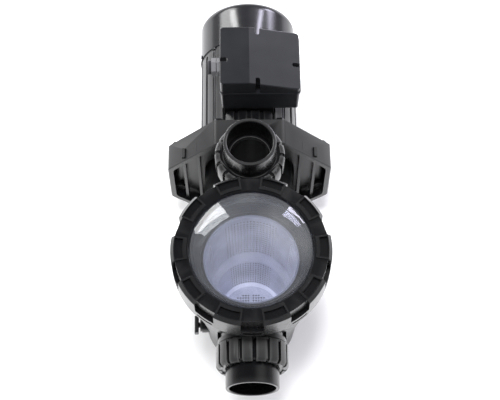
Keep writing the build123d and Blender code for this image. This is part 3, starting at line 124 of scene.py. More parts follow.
@dataclass(frozen=True)
class Finish:
    """One procedural finish.

    Attributes:
        name: the material's name.
        surface: the kind of surface.
        colour: base colour, linear.
        roughness: middle roughness.
        spread: how far the roughness wanders either side.
        grain: size of the surface grain, in metres.
        relief: strength of the grain's bump.
        metallic: 1 for bare metal.
        edge: strength of the painted highlight that lightens convex edges.
        smoke: share of light that a clear surface scatters.
    """

    name: str
    surface: Surface
    colour: Colour
    roughness: float
    spread: float = 0.05
    grain: float = 0.0012
    relief: float = 0.05
    metallic: float = 0.0
    edge: float = 0.0
    smoke: float = 0.0

    def material(self) -> bpy.types.Material:
        """Builds the material's nodes, once.

        Returns:
            The material.
        """
        name = f"{self.name}_finish"
        existing = bpy.data.materials.get(name)
        if existing:
            return existing
        material = bpy.data.materials.new(name)
        material.use_nodes = True
        nodes = material.node_tree.nodes
        links = material.node_tree.links
        shader = nodes["Principled BSDF"]
        shader.inputs["Metallic"].default_value = self.metallic
        shader.inputs["IOR"].default_value = SURFACE_IOR
        place = nodes.new("ShaderNodeTexCoord")
        broad = nodes.new("ShaderNodeTexNoise")
        broad.inputs["Scale"].default_value = BROAD_SCALE
        broad.inputs["Detail"].default_value = BROAD_DETAIL
        links.new(place.outputs["Object"], broad.inputs["Vector"])
        tone = nodes.new("ShaderNodeMapRange")
        tone.inputs["To Min"].default_value = self.roughness - self.spread
        tone.inputs["To Max"].default_value = self.roughness + self.spread
        links.new(broad.outputs["Fac"], tone.inputs["Value"])
        links.new(tone.outputs["Result"], shader.inputs["Roughness"])
        self._colour(material, broad)
        self._relief(material, place)
        if self.surface is Surface.CLEAR:
            self._let_light_through(material)
        return material

    def _colour(self, material: bpy.types.Material, broad: bpy.types.Node) -> None:
        """Varies the colour a little from place to place, and paints highlights on the convex
        edges.

        Args:
            material: the material.
            broad: its broad noise.
        """
        nodes = material.node_tree.nodes
        links = material.node_tree.links
        ramp = nodes.new("ShaderNodeValToRGB")
        for stop, spot, share in zip(ramp.color_ramp.elements, TONE_STOPS, TONE_SHARES):
            stop.position = spot
            stop.color = toned(self.colour, share)
        links.new(broad.outputs["Fac"], ramp.inputs["Fac"])
        shader = nodes["Principled BSDF"]
        if self.edge <= 0:
            links.new(ramp.outputs["Color"], shader.inputs["Base Color"])
            return
        # Painted highlight: where pointiness is high, convex edges are mixed towards a much
        # lighter copy of the base colour.
        shape = nodes.new("ShaderNodeNewGeometry")
        rim = nodes.new("ShaderNodeMapRange")
        for key, pointiness in zip(("From Min", "From Max"), EDGE_HIGHLIGHT_POINTINESS):
            rim.inputs[key].default_value = pointiness
        rim.inputs["To Max"].default_value = self.edge
        edge_highlight = nodes.new("ShaderNodeMix")
        edge_highlight.data_type = "RGBA"
        edge_highlight.inputs["B"].default_value = toned(self.colour, EDGE_HIGHLIGHT_GAIN, EDGE_HIGHLIGHT_LIFT)
        links.new(shape.outputs["Pointiness"], rim.inputs["Value"])
        links.new(rim.outputs["Result"], edge_highlight.inputs["Factor"])
        links.new(ramp.outputs["Color"], edge_highlight.inputs["A"])
        links.new(edge_highlight.outputs["Result"], shader.inputs["Base Color"])

    def _relief(self, material: bpy.types.Material, place: bpy.types.Node) -> None:
        """Adds the fine grain as a bump.

        Args:
            material: the material.
            place: its coordinate node.
        """
        if self.relief <= 0:
            return
        nodes = material.node_tree.nodes
        links = material.node_tree.links
        fine = nodes.new("ShaderNodeTexNoise")
        fine.inputs["Scale"].default_value = 1 / self.grain
        fine.inputs["Detail"].default_value = GRAIN_DETAIL
        bump = nodes.new("ShaderNodeBump")
        bump.inputs["Strength"].default_value = self.relief
        bump.inputs["Distance"].default_value = self.grain * BUMP_DEPTH
        if self.surface is Surface.METAL:
            stretch = nodes.new("ShaderNodeMapping")
            stretch.inputs["Scale"].default_value = BRUSHED
            links.new(place.outputs["Object"], stretch.inputs["Vector"])
            links.new(stretch.outputs["Vector"], fine.inputs["Vector"])
        else:
            links.new(place.outputs["Object"], fine.inputs["Vector"])
        links.new(fine.outputs["Fac"], bump.inputs["Height"])
        links.new(bump.outputs["Normal"], nodes["Principled BSDF"].inputs["Normal"])

    def _let_light_through(self, material: bpy.types.Material) -> None:
        """Makes a clear plastic whose shadow is light.

        Args:
            material: the material.
        """
        nodes = material.node_tree.nodes
        links = material.node_tree.links
        shader = nodes["Principled BSDF"]
        shader.inputs["Transmission Weight"].default_value = 1.0 - self.smoke
        passing = nodes.new("ShaderNodeBsdfTransparent")
        passing.inputs["Color"].default_value = CLEAR_SHADOW
        path = nodes.new("ShaderNodeLightPath")
        mix = nodes.new("ShaderNodeMixShader")
        links.new(path.outputs["Is Shadow Ray"], mix.inputs["Fac"])
        links.new(shader.outputs["BSDF"], mix.inputs[1])
        links.new(passing.outputs["BSDF"], mix.inputs[2])
        links.new(mix.outputs["Shader"], nodes["Material Output"].inputs["Surface"])


# A finish's edge value sets the strength of the painted highlight on its convex edges.
HOUSING = Finish("housing_black", Surface.MOULDED, (0.0042, 0.0043, 0.0048), 0.3,
                 relief=0.12, edge=0.25)
UNION = Finish("union_black", Surface.MOULDED, (0.0032, 0.0033, 0.0037), 0.25, edge=0.4)
RING = Finish("ring_black", Surface.MOULDED, (0.0032, 0.0033, 0.0037), 0.26,
              relief=0.06, edge=0.06)
FRAME_PAINT = Finish("frame_black", Surface.PAINTED, (0.0045, 0.0046, 0.0052), 0.3,
                     relief=0.12, edge=0.35)
COWL = Finish("cowl_black", Surface.PAINTED, (0.011, 0.0112, 0.0125), 0.19,
              spread=0.02, relief=0.02)
BOX_SHELL = Finish("box_black", Surface.MOULDED, (0.0085, 0.009, 0.0105), 0.33, relief=0.1)
CLEAR_LID = Finish("lid_clear", Surface.CLEAR, (0.82, 0.845, 0.93), 0.012,
                   spread=0.004, relief=0.0, smoke=0.028)
BASKET = Finish("basket_grey", Surface.MOULDED, (0.66, 0.665, 0.78), 0.5)
# Painted shade: a darker copy of the basket's grey for its floor, which lies in shade deep in the
# pot.
BASKET_FLOOR_SHADE = Finish("basket_floor_painted_shade", Surface.MOULDED, (0.33, 0.34, 0.42), 0.5)
# Painted shade: a dark copy of the basket's grey for its flat rim, which lies in shade under the
# lid's edge.
BASKET_RIM_SHADE = Finish("basket_rim_painted_shade", Surface.MOULDED, (0.1, 0.105, 0.14), 0.4)
SEAL = Finish("seal_black", Surface.RUBBER, (0.012, 0.012, 0.012), 0.7, relief=0.2)
STEEL = Finish("steel_bright", Surface.METAL, (0.5, 0.5, 0.51), 0.3, relief=0.1, metallic=1.0)
DARK_SCREW = Finish("screw_black", Surface.METAL, (0.05, 0.05, 0.053), 0.4,
                    relief=0.1, metallic=1.0)
LAMINATION = Finish("steel_dull", Surface.METAL, (0.3, 0.3, 0.31), 0.45,
                    relief=0.3, metallic=1.0)
COPPER = Finish("winding_copper", Surface.METAL, (0.72, 0.33, 0.16), 0.35,
                relief=0.3, metallic=1.0)
DARK_PLASTIC = Finish("inner_plastic", Surface.MOULDED, (0.03, 0.03, 0.032), 0.5)
CERAMIC = Finish("seal_ceramic", Surface.MOULDED, (0.8, 0.77, 0.7), 0.25, relief=0.02)
CAN = Finish("capacitor_grey", Surface.MOULDED, (0.7, 0.7, 0.68), 0.4)
TERMINAL = Finish("terminal_cream", Surface.MOULDED, (0.6, 0.55, 0.42), 0.5)
GLAND = Finish("gland_black", Surface.MOULDED, (0.02, 0.02, 0.023), 0.14,
               relief=0.02, edge=0.8)

SLOT_FINISH: dict[str, Finish] = {
    "housing_plastic": HOUSING,
    "union_plastic": UNION,
    "ring_plastic": RING,
    "lid_clear": CLEAR_LID,
    "basket_plastic": BASKET,
    "seal_rubber": SEAL,
    "motor_black": FRAME_PAINT,
    "cowl_black": COWL,
    "box_plastic": BOX_SHELL,
    "steel": STEEL,
    "lamination": LAMINATION,
    "copper": COPPER,
    "impeller_plastic": DARK_PLASTIC,
    "fan_plastic": DARK_PLASTIC,
    "seal_ceramic": CERAMIC,
    "seal_carbon": DARK_PLASTIC,
    "capacitor_can": CAN,
    "terminal_plastic": TERMINAL,
    "gland_plastic": GLAND,
}
DARK_NODES = ("housing_bolts", "housing_washers", "motor_flange_bolts", "motor_through_bolts",
              "fan_cover_screws")


def deselect() -> None:
    """Leaves nothing selected."""
    bpy.ops.object.select_all(action="DESELECT")


def take(piece: bpy.types.Object) -> None:
    """Makes one object the only one selected, and active.

    Args:
        piece: the object.
    """
    deselect()
    piece.select_set(True)
    bpy.context.view_layer.objects.active = piece


def edit(on: bool) -> None:
    """Enters edit mode, or leaves it."""
    bpy.ops.object.mode_set(mode="EDIT" if on else "OBJECT")


def dress(piece: bpy.types.Object, finish: Finish) -> None:
    """Gives an object one finish all over."""
    piece.data.materials.clear()
    piece.data.materials.append(finish.material())


def apply_modifier(piece: bpy.types.Object, kind: str, **settings: object) -> None:
    """Adds a modifier, sets it and applies it.

    Args:
        piece: the object.
        kind: the modifier's type.
        settings: the modifier's values by name.
    """
    take(piece)
    bpy.ops.object.modifier_add(type=kind)
    modifier = piece.modifiers[-1]
    for key, value in settings.items():
        setattr(modifier, key, value)
    bpy.ops.object.modifier_apply(modifier=modifier.name)


def smooth(piece: bpy.types.Object, degrees: float) -> None:
    """Shades an object smooth, except over edges sharper than an angle."""
    take(piece)
    bpy.ops.object.shade_smooth_by_angle(angle=math.radians(degrees))


def unpick(piece: bpy.types.Object, kind: str) -> None:
    """Leaves an object in object mode with none of its faces or edges selected.

    Args:
        piece: the object.
        kind: "FACE" or "EDGE", what is to be picked next.
    """
    take(piece)
    edit(True)
    bpy.ops.mesh.select_mode(type=kind)
    bpy.ops.mesh.select_all(action="DESELECT")
    edit(False)


def pick_faces(piece: bpy.types.Object, wanted: Callable[[Vector, Vector], bool]) -> None:
    """Leaves an object in edit mode with the faces that a test wants selected.

    Args:
        piece: the object.
        wanted: takes a face's middle and normal, and says whether it is wanted.
    """
    unpick(piece, "FACE")
    for face in piece.data.polygons:
        face.select = wanted(face.center, face.normal)
    edit(True)


def pick_edges(piece: bpy.types.Object, wanted: Callable[[Vector, Vector], bool]) -> None:
    """Leaves an object in edit mode with the edges that a test wants selected.

    Args:
        piece: the object.
        wanted: takes an edge's two ends, and says whether it is wanted.
    """
    unpick(piece, "EDGE")
    ends = [corner.co for corner in piece.data.vertices]
    for edge in piece.data.edges:
        edge.select = wanted(*(ends[corner] for corner in edge.vertices))
    edit(True)


def on_line(z: float, heights: tuple[float, float], radii: tuple[float, float]) -> float:
    """Radius of a tapering wall at a height.

    Args:
        z: the height.
        heights: heights of the wall's foot and top.
        radii: its radii there.

    Returns:
        The radius.
    """
    share = (z - heights[0]) / (heights[1] - heights[0])
    return radii[0] + share * (radii[1] - radii[0])


def lathe(name: str, outline: Points, foot: Vector, steps: int,
          turned: float = 0.0) -> bpy.types.Object:
    """Turns an outline about an upright axis.

    Args:
        name: the new piece's name.
        outline: (radius, height) points.
        foot: a point on the axis at height 0.
        steps: number of columns round the axis.
        turned: angle of the first column's edge from +X, in radians.

    Returns:
        The new piece, with doubles merged.
    """
    across = Vector((math.cos(turned), math.sin(turned), 0))
    points = [foot + across * r + Vector((0, 0, z)) for r, z in outline]
    deselect()
    bpy.ops.mesh.primitive_plane_add(size=MM, location=(0, 0, 0))
    piece = bpy.context.active_object
    piece.name = name
    edit(True)
    bpy.ops.mesh.select_mode(type="VERT")
    bpy.ops.mesh.select_all(action="SELECT")
    bpy.ops.mesh.merge(type="CENTER")
    bpy.ops.transform.translate(value=points[0])
    for here, there in zip(points, points[1:]):
        bpy.ops.mesh.extrude_vertices_move(TRANSFORM_OT_translate={"value": there - here})
    bpy.ops.mesh.select_all(action="SELECT")
    bpy.ops.mesh.spin(steps=steps, angle=2 * math.pi, center=foot, axis=(0, 0, 1))
    bpy.ops.mesh.select_all(action="SELECT")
    bpy.ops.mesh.remove_doubles(threshold=LATHE_WELD)
    bpy.ops.mesh.normals_make_consistent(inside=False)
    edit(False)
    return piece


@dataclass
class Frame:
    """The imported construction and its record.

    Attributes:
        loaded: what the frame's loading gives.
    """

    loaded: dict

    def node(self, name: str) -> bpy.types.Object:
        """One node's object."""
        return self.loaded["nodes"][name]

    def slot_of(self, node: str) -> str:
        """Name of a node's material slot."""
        parts = self.loaded["record"]["subparts"]
        return next(part["material_slot"] for part in parts if part["node"] == node)

    def body_of(self, node: str) -> str:
        """Name of the body that a node belongs to."""
        bodies = self.loaded["record"]["behaviour"]["bodies"]
        return next(body for body, members in bodies.items() if node in members)

    def centre(self, node: str) -> Vector:
        """Middle of a node's box."""
        low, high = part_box(node)
        return (Vector(low) + Vector(high)) / 2

    def finish_of(self, node: str) -> Finish:
        """Finish of a node."""
        return DARK_SCREW if node in DARK_NODES else SLOT_FINISH[self.slot_of(node)]


def rounded(**radii: float) -> dict[str, float]:
    """A field with the edge radius of each named node, given in millimetres."""
    return field(default_factory=lambda: {node: radius * MM for node, radius in radii.items()})


@dataclass
class SubAssembly:
    """A group of pieces that stand for nodes of the construction.

    Attributes:
        frame: the construction.
        rounds: edge radius of each moulding that is taken over with rounded edges.
        crease: angle in degrees over which an edge is shaded sharp.
    """

    frame: Frame
    rounds: dict[str, float] = rounded()
    crease: float = CREASE

    def hand_over(self, piece: bpy.types.Object, node: str, stands_in: bool = True) -> None:
        """Dresses a finished piece as a node is, and puts it on the node's body.

        Args:
            piece: the piece.
            node: the node that it stands for, or belongs with.
            stands_in: whether it takes the node's place.
        """
        dress(piece, self.frame.finish_of(node))
        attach(piece, self.frame.body_of(node))
        if stands_in:
            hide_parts(node)
        self.frame.slot_of(node)
        LOG.info("%s: %d faces", piece.name, len(piece.data.polygons))

    def round_edges(self, node: str, radius: float) -> bpy.types.Object:
        """Copies a node, joins its triangles into whole faces and rounds its edges.

        Args:
            node: the node's name.
            radius: the edge radius.

        Returns:
            The new piece.
        """
        take(self.frame.node(node))
        bpy.ops.object.duplicate()
        piece = bpy.context.active_object
        piece.name = f"{node}_finished"
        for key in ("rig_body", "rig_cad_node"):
            if key in piece:
                del piece[key]
        piece.parent = None
        bpy.ops.mesh.customdata_custom_splitnormals_clear()
        edit(True)
        bpy.ops.mesh.select_all(action="SELECT")
        bpy.ops.mesh.remove_doubles(threshold=NODE_WELD)
        bpy.ops.mesh.dissolve_limited(angle_limit=math.radians(FLAT))
        edit(False)
        smooth(piece, self.crease)
        apply_modifier(piece, "BEVEL", width=radius, segments=2, limit_method="ANGLE",
                       angle_limit=math.radians(CREASE), use_clamp_overlap=True,
                       miter_outer="MITER_ARC", harden_normals=True)
        if self.crease < CREASE:
            bpy.ops.mesh.customdata_custom_splitnormals_clear()
            smooth(piece, self.crease)
            apply_modifier(piece, "WEIGHTED_NORMAL", keep_sharp=True, weight=100)
        return piece

    def build(self) -> None:
        """Makes every piece."""
        for node, radius in self.rounds.items():
            self.hand_over(self.round_edges(node, radius), node)


@dataclass
class WetEnd(SubAssembly):
    """The strainer pot, the pump housing and its seal plate, the floor foot and the bolts."""

    rounds: dict[str, float] = rounded(strainer_pot=0.9, pump_housing=0.9, seal_plate=0.6,
                                       pump_foot=1.0, housing_bolts=0.4)


@dataclass
class LockRing(SubAssembly):
    """The ring that clamps the lid."""

    rounds: dict[str, float] = rounded(lock_ring=0.7)


class BasketPart(IntEnum):
    """The basket's parts that differ in tone, numbered as its material slots: the wall's grey,
    and the rim and the floor in painted shade.
    """

    WALL = 0
    RIM = 1
    FLOOR = 2


@dataclass
class Basket(SubAssembly):
    """The strainer basket: stepped wall with windows of square holes, flat rim, pierced floor.

    Attributes:
        crease: angle in degrees over which an edge is shaded sharp.
        columns: columns of the wall.
        rows: rows of holes in the upper wall.
        pitch: height of one row.
        bar: half the width of the bars between holes.
        wall: thickness of the wall.
        rear_window: half-angle of the window opposite the inlet, in degrees.
        side_window: start and end of the side windows, as angles from +Y.
        inlet_radius: radius of the inlet hole.
        inlet_height: height of its middle.
        inlet_away: distance from the axis to the middle of the tool that cuts it.
        inlet_depth: length of that tool.
        floor_hole: width of the floor's holes.
        floor_pitch: distance between two of them.
        floor_offset: place of the first of them from the axis, in pitches.
        floor_rows: rows of them either side of the middle row.
        floor_columns: columns of them either side of the axis.
        floor_holes_within: radius that they keep inside.
        peg_length: length of the tool that cuts one of them, in hole widths.
        floor_radius: radius of the floor, inside its sloping corner.
        upper: heights of the upper wall's foot and top.
        upper_radius: its radii there.
        first_row: height of the lower edge of its lowest row.
        lower: heights of the floor and of the lower wall's top.
        lower_radius: the lower wall's radii there.
        lower_rows: rows of holes in the lower wall.
        lower_margin: height left plain below and above them.
        rim_radius: radius of the flat rim.
        rim_from: how far outside the upper wall the rim's painted shade starts.
        skin: depth within which a face counts to the rim or the floor, for their painted shade.
    """

    crease: float = 28.0
    columns: int = 84
    rows: int = 15
    pitch: float = 7.36 * MM
    bar: float = 1.25 * MM
    wall: float = 0.8 * MM
    rear_window: float = 36.6
    side_window: tuple[float, float] = (62.0, 116.0)
    inlet_radius: float = 29.0 * MM
    inlet_height: float = 221.0 * MM
    inlet_away: float = 60.0 * MM
    inlet_depth: float = 40.0 * MM
    floor_hole: float = 2.3 * MM
    floor_pitch: float = 4.35 * MM
    floor_offset: tuple[float, float] = (0.95, 0.17)
    floor_rows: int = 7
    floor_columns: int = 8
    floor_holes_within: float = 35.0 * MM
    peg_length: float = 4.0
    floor_radius: float = 47.0 * MM
    upper: tuple[float, float] = (166.0 * MM, 292.0 * MM)
    upper_radius: tuple[float, float] = (60.0 * MM, 62.0 * MM)
    first_row: float = 168.5 * MM
    lower: tuple[float, float] = (50.0 * MM, 146.0 * MM)
    lower_radius: tuple[float, float] = (51.5 * MM, 54.5 * MM)
    lower_rows: int = 11
    lower_margin: float = 6.0 * MM
    rim_radius: float = 68.5 * MM
    rim_from: float = 0.9 * MM
    skin: float = 1.0 * MM

    def outline(self) -> Points:
        """The wall's outer line from the middle of the floor to the rim.

        Returns:
            (radius, height) points.
        """
        low, high = self.lower
        points = [(0.0, low), (self.floor_radius, low)]
        step = (high - low - 2 * self.lower_margin) / self.lower_rows
        for row in range(self.lower_rows + 1):
            z = low + self.lower_margin + step * row
            points.append((on_line(z, self.lower, self.lower_radius), z))
        points.append((self.lower_radius[1], high))
        points.append((self.upper_radius[0], self.upper[0]))
        for row in range(self.rows + 1):
            z = self.first_row + self.pitch * row
            points.append((on_line(z, self.upper, self.upper_radius), z))
        points.append((self.upper_radius[1], self.upper[1]))
        points.append((self.rim_radius, self.upper[1]))
        return points

    def in_window(self, middle: Vector, centre: Vector) -> bool:
        """Whether a face of the wall gets a hole.

        Args:
            middle: the face's middle.
            centre: the basket's axis.

        Returns:
            True where there is a hole.
        """
        away = math.degrees(abs(math.atan2(middle.x - centre.x, middle.y - centre.y)))
        z = middle.z
        in_upper = self.first_row < z < self.first_row + self.pitch * self.rows
        in_lower = self.lower[0] + self.lower_margin < z < self.lower[1] - self.lower_margin
        on_side = self.side_window[0] < away < self.side_window[1]
        if in_upper:
            return away < self.rear_window or on_side
        return in_lower and (away < self.rear_window or away > self.side_window[0])

    def floor_holes(self) -> Points:
        """Places of the floor's holes, the same on either side of the inlet.

        Returns:
            (x, y) points from the axis.
        """
        first_x, first_y = self.floor_offset
        places = []
        for row in range(-self.floor_rows, self.floor_rows + 1):
            for column in range(self.floor_columns):
                x = (column + first_x) * self.floor_pitch
                y = (row + first_y) * self.floor_pitch
                if math.hypot(x, y) < self.floor_holes_within:
                    places += [(x, y), (-x, y)]
        return places

    def punch(self, centre: Vector) -> bpy.types.Object:
        """The tool that cuts the inlet and the floor's holes.

        Args:
            centre: the basket's axis.

        Returns:
            The tool.
        """
        deselect()
        bpy.ops.mesh.primitive_cylinder_add(
            vertices=64, radius=self.inlet_radius, depth=self.inlet_depth,
            rotation=(math.pi / 2, 0, 0),
            location=(centre.x, centre.y - self.inlet_away, self.inlet_height))
        tool = bpy.context.active_object
        made = [tool]
        bpy.ops.mesh.primitive_cube_add(size=self.floor_hole, location=(0, 0, 0))
        peg = bpy.context.active_object
        peg.scale.z = self.peg_length
        for x, y in self.floor_holes():
            take(peg)
            bpy.ops.object.duplicate()
            copy = bpy.context.active_object
            copy.location = (centre.x + x, centre.y + y, self.lower[0])
            made.append(copy)
        bpy.data.objects.remove(peg)
        take(tool)
        for each in made:
            each.select_set(True)
        bpy.ops.object.join()
        bpy.ops.object.transform_apply(location=True, rotation=True, scale=True)
        return tool

    def part_at(self, middle: Vector, centre: Vector) -> BasketPart:
        """Which part of the basket a face belongs to, and so whether it is painted in shade.

        Args:
            middle: the face's middle.
            centre: the basket's axis.

        Returns:
            The part.
        """
        away = (middle - centre).xy.length
        if away > self.upper_radius[1] + self.rim_from and middle.z > self.upper[1] - self.skin:
            return BasketPart.RIM
        if away < self.floor_radius and middle.z < self.lower[0] + self.skin:
            return BasketPart.FLOOR
        return BasketPart.WALL

    def build(self) -> None:
        """Makes the basket."""
        node = "strainer_basket"
        centre = self.frame.centre(node)
        foot = Vector((centre.x, centre.y, 0))
        piece = lathe(f"{node}_finished", self.outline(), foot, self.columns,
                      math.pi / self.columns)
        pick_faces(piece, lambda middle, normal: self.in_window(middle, centre))
        bpy.ops.mesh.inset(thickness=self.bar, use_individual=True, use_even_offset=True)
        bpy.ops.mesh.delete(type="FACE")
        edit(False)
        apply_modifier(piece, "SOLIDIFY", thickness=self.wall, offset=-1.0, use_even_offset=True)
        tool = self.punch(centre)
        apply_modifier(piece, "BOOLEAN", operation="DIFFERENCE", object=tool, solver="EXACT")
        bpy.data.objects.remove(tool)
        smooth(piece, self.crease)
        self.hand_over(piece, node)
        # The rim and the floor take darker copies of the basket's grey: painted shade.
        for finish in (BASKET_RIM_SHADE, BASKET_FLOOR_SHADE):
            piece.data.materials.append(finish.material())
        for face in piece.data.polygons:
            face.material_index = self.part_at(face.center, centre)


@dataclass
class Lid(SubAssembly):
    """The clear domed lid.

    Attributes:
        crease: angle in degrees over which an edge is shaded sharp.
        rim_radius: radius of the clamped flange.
        dome_radius: radius of the dome's side.
        wall: thickness.
        flange: heights of the flange's underside and top.
        shoulder: height where the side turns into the dome.
        crown: height of the middle.
        steps: columns round it.
        rings: rings over the dome.
        edge_radius: radius of its edges.
        edge_over: angle in degrees over which an edge is rounded.
    """

    crease: float = 60.0
    rim_radius: float = 91.7 * MM
    dome_radius: float = 81.2 * MM
    wall: float = 5.0 * MM
    flange: tuple[float, float] = (308.0 * MM, 314.0 * MM)
    shoulder: float = 329.3 * MM
    crown: float = 348.0 * MM
    steps: int = 128
    rings: int = 18
    edge_radius: float = 1.6 * MM
    edge_over: float = 35.0

    def dome(self, radius: float, top: float, low: float) -> Points:
        """A shallow dome's line from its crown to its edge.

        Args:
            radius: radius of the edge.
            top: height of the crown.
            low: height of the edge.

        Returns:
            (radius, height) points.
        """
        rise = top - low
        ball = (radius * radius + rise * rise) / (2 * rise)
        points = []
        for ring in range(self.rings + 1):
            r = radius * ring / self.rings
            points.append((r, top - ball + math.sqrt(ball * ball - r * r)))
        return points

    def build(self) -> None:
        """Makes the lid."""
        node = "strainer_lid"
        centre = self.frame.centre(node)
        inner = self.dome_radius - self.wall
        low, high = self.flange
        outside = self.dome(self.dome_radius, self.crown, self.shoulder)
        inside = self.dome(inner, self.crown - self.wall, self.shoulder - self.wall)
        flange = [(self.dome_radius, high), (self.rim_radius, high), (self.rim_radius, low),
                  (inner, low)]
        outline = outside + flange + inside[::-1]
        piece = lathe(f"{node}_finished", outline, Vector((centre.x, centre.y, 0)), self.steps)
        apply_modifier(piece, "BEVEL", width=self.edge_radius, segments=4, limit_method="ANGLE",
                       angle_limit=math.radians(self.edge_over), use_clamp_overlap=True)
        smooth(piece, self.crease)
        self.hand_over(piece, node)


@dataclass
class Unions(SubAssembly):
    """The nut and tailpiece of either union."""

    rounds: dict[str, float] = rounded(suction_nut=0.6, discharge_nut=0.6,
                                       suction_tailpiece=0.7, discharge_tailpiece=0.7)


@dataclass
class Motor(SubAssembly):
    """The ribbed motor frame, its front shield, and its foot on a pad."""

    rounds: dict[str, float] = rounded(motor_frame=0.5, front_end_shield=0.6, motor_foot=1.0,
                                       motor_foot_pad=0.8)


@dataclass
class TerminalBox(SubAssembly):
    """The terminal box with its gland, and the bead round the lower edge of its cover.

    Attributes:
        rounds: edge radius of each moulding that is taken over with rounded edges.
        crease: angle in degrees over which an edge is shaded sharp, less than the cover's ridge.
        bead_height: height of the bead.
        bead_proud: how far it stands out from the cover.
        bead_depth: how far it reaches into the cover's wall.
        corner: radius of its corners.
        bead_round: radius of its edges.
        bead_over: angle in degrees over which its edges are rounded.
    """

    rounds: dict[str, float] = rounded(terminal_box_base=0.8, terminal_box_cover=0.5,
                                       cable_gland_body=0.5, cable_gland_nut=0.5)
    crease: float = 10.0
    bead_height: float = 4.0 * MM
    bead_proud: float = 1.1 * MM
    bead_depth: float = 1.5 * MM
    corner: float = 6.0 * MM
    bead_round: float = 0.5 * MM
    bead_over: float = 40.0

    def bead(self) -> bpy.types.Object:
        """Makes the bead.

        Returns:
            The new piece.
        """
        low, high = (Vector(corner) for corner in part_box("terminal_box_cover"))
        middle = (low + high) / 2
        middle.z = low.z + self.bead_height / 2
        deselect()
        bpy.ops.mesh.primitive_cube_add(size=1, location=middle)
        piece = bpy.context.active_object
        piece.name = "terminal_box_bead"
        wide, deep = high.x - low.x, high.y - low.y
        piece.scale = (wide + 2 * self.bead_proud, deep + 2 * self.bead_proud, self.bead_height)
        bpy.ops.object.transform_apply(location=True, rotation=True, scale=True)
        pick_edges(piece, lambda a, b: abs(a.z - b.z) > self.bead_height / 2)
        bpy.ops.mesh.bevel(offset=self.corner, segments=8, affect="EDGES")
        edit(False)
        pick_faces(piece, lambda middle, normal: abs(normal.z) > LEVEL)
        bpy.ops.mesh.inset(thickness=self.bead_proud + self.bead_depth)
        bpy.ops.mesh.bridge_edge_loops()
        edit(False)
        apply_modifier(piece, "BEVEL", width=self.bead_round, segments=2, limit_method="ANGLE",
                       angle_limit=math.radians(self.bead_over), harden_normals=True)
        return piece

    def build(self) -> None:
        """Makes the box and its bead."""
        super().build()
        self.hand_over(self.bead(), "terminal_box_cover", stands_in=False)


@dataclass
class DrainPlugs(SubAssembly):
    """The two wing drain plugs."""

    rounds: dict[str, float] = rounded(strainer_drain_plug=0.6, volute_drain_plug=0.6)


@dataclass(frozen=True)
class SoftBox:
    """A rectangular light that faces the pump.

    Attributes:
        name: its name.
        towards: direction from the pump to it.
        far: its distance.
        size: its width and height.
        power: its power in watts.
        colour: its colour.
        mirrored: whether glossy surfaces mirror it.
    """

    name: str
    towards: Direction
    far: float
    size: tuple[float, float]
    power: float
    colour: Colour = (1, 1, 1)
    mirrored: bool = True


BLUISH: Colour = (0.84, 0.82, 1.0)
SOFT_BOXES = (
    SoftBox("left_box", (-0.56, 0.76, 0.42), 2.2, (1.05, 0.85), 28),
    SoftBox("right_box", (0.60, 0.80, 0.33), 2.2, (0.62, 0.62), 20, BLUISH),
    SoftBox("cowl_left_strip", (-0.104, 0.432, 0.101), 0.456, (0.04, 0.09), 0.22),
    SoftBox("cowl_right_strip", (0.0966, 0.432, 0.105), 0.455, (0.023, 0.09), 0.18, BLUISH),
    SoftBox("pot_light", (-0.04, -0.1, 1.0), 1.5, (0.4, 0.4), 40, mirrored=False),
)


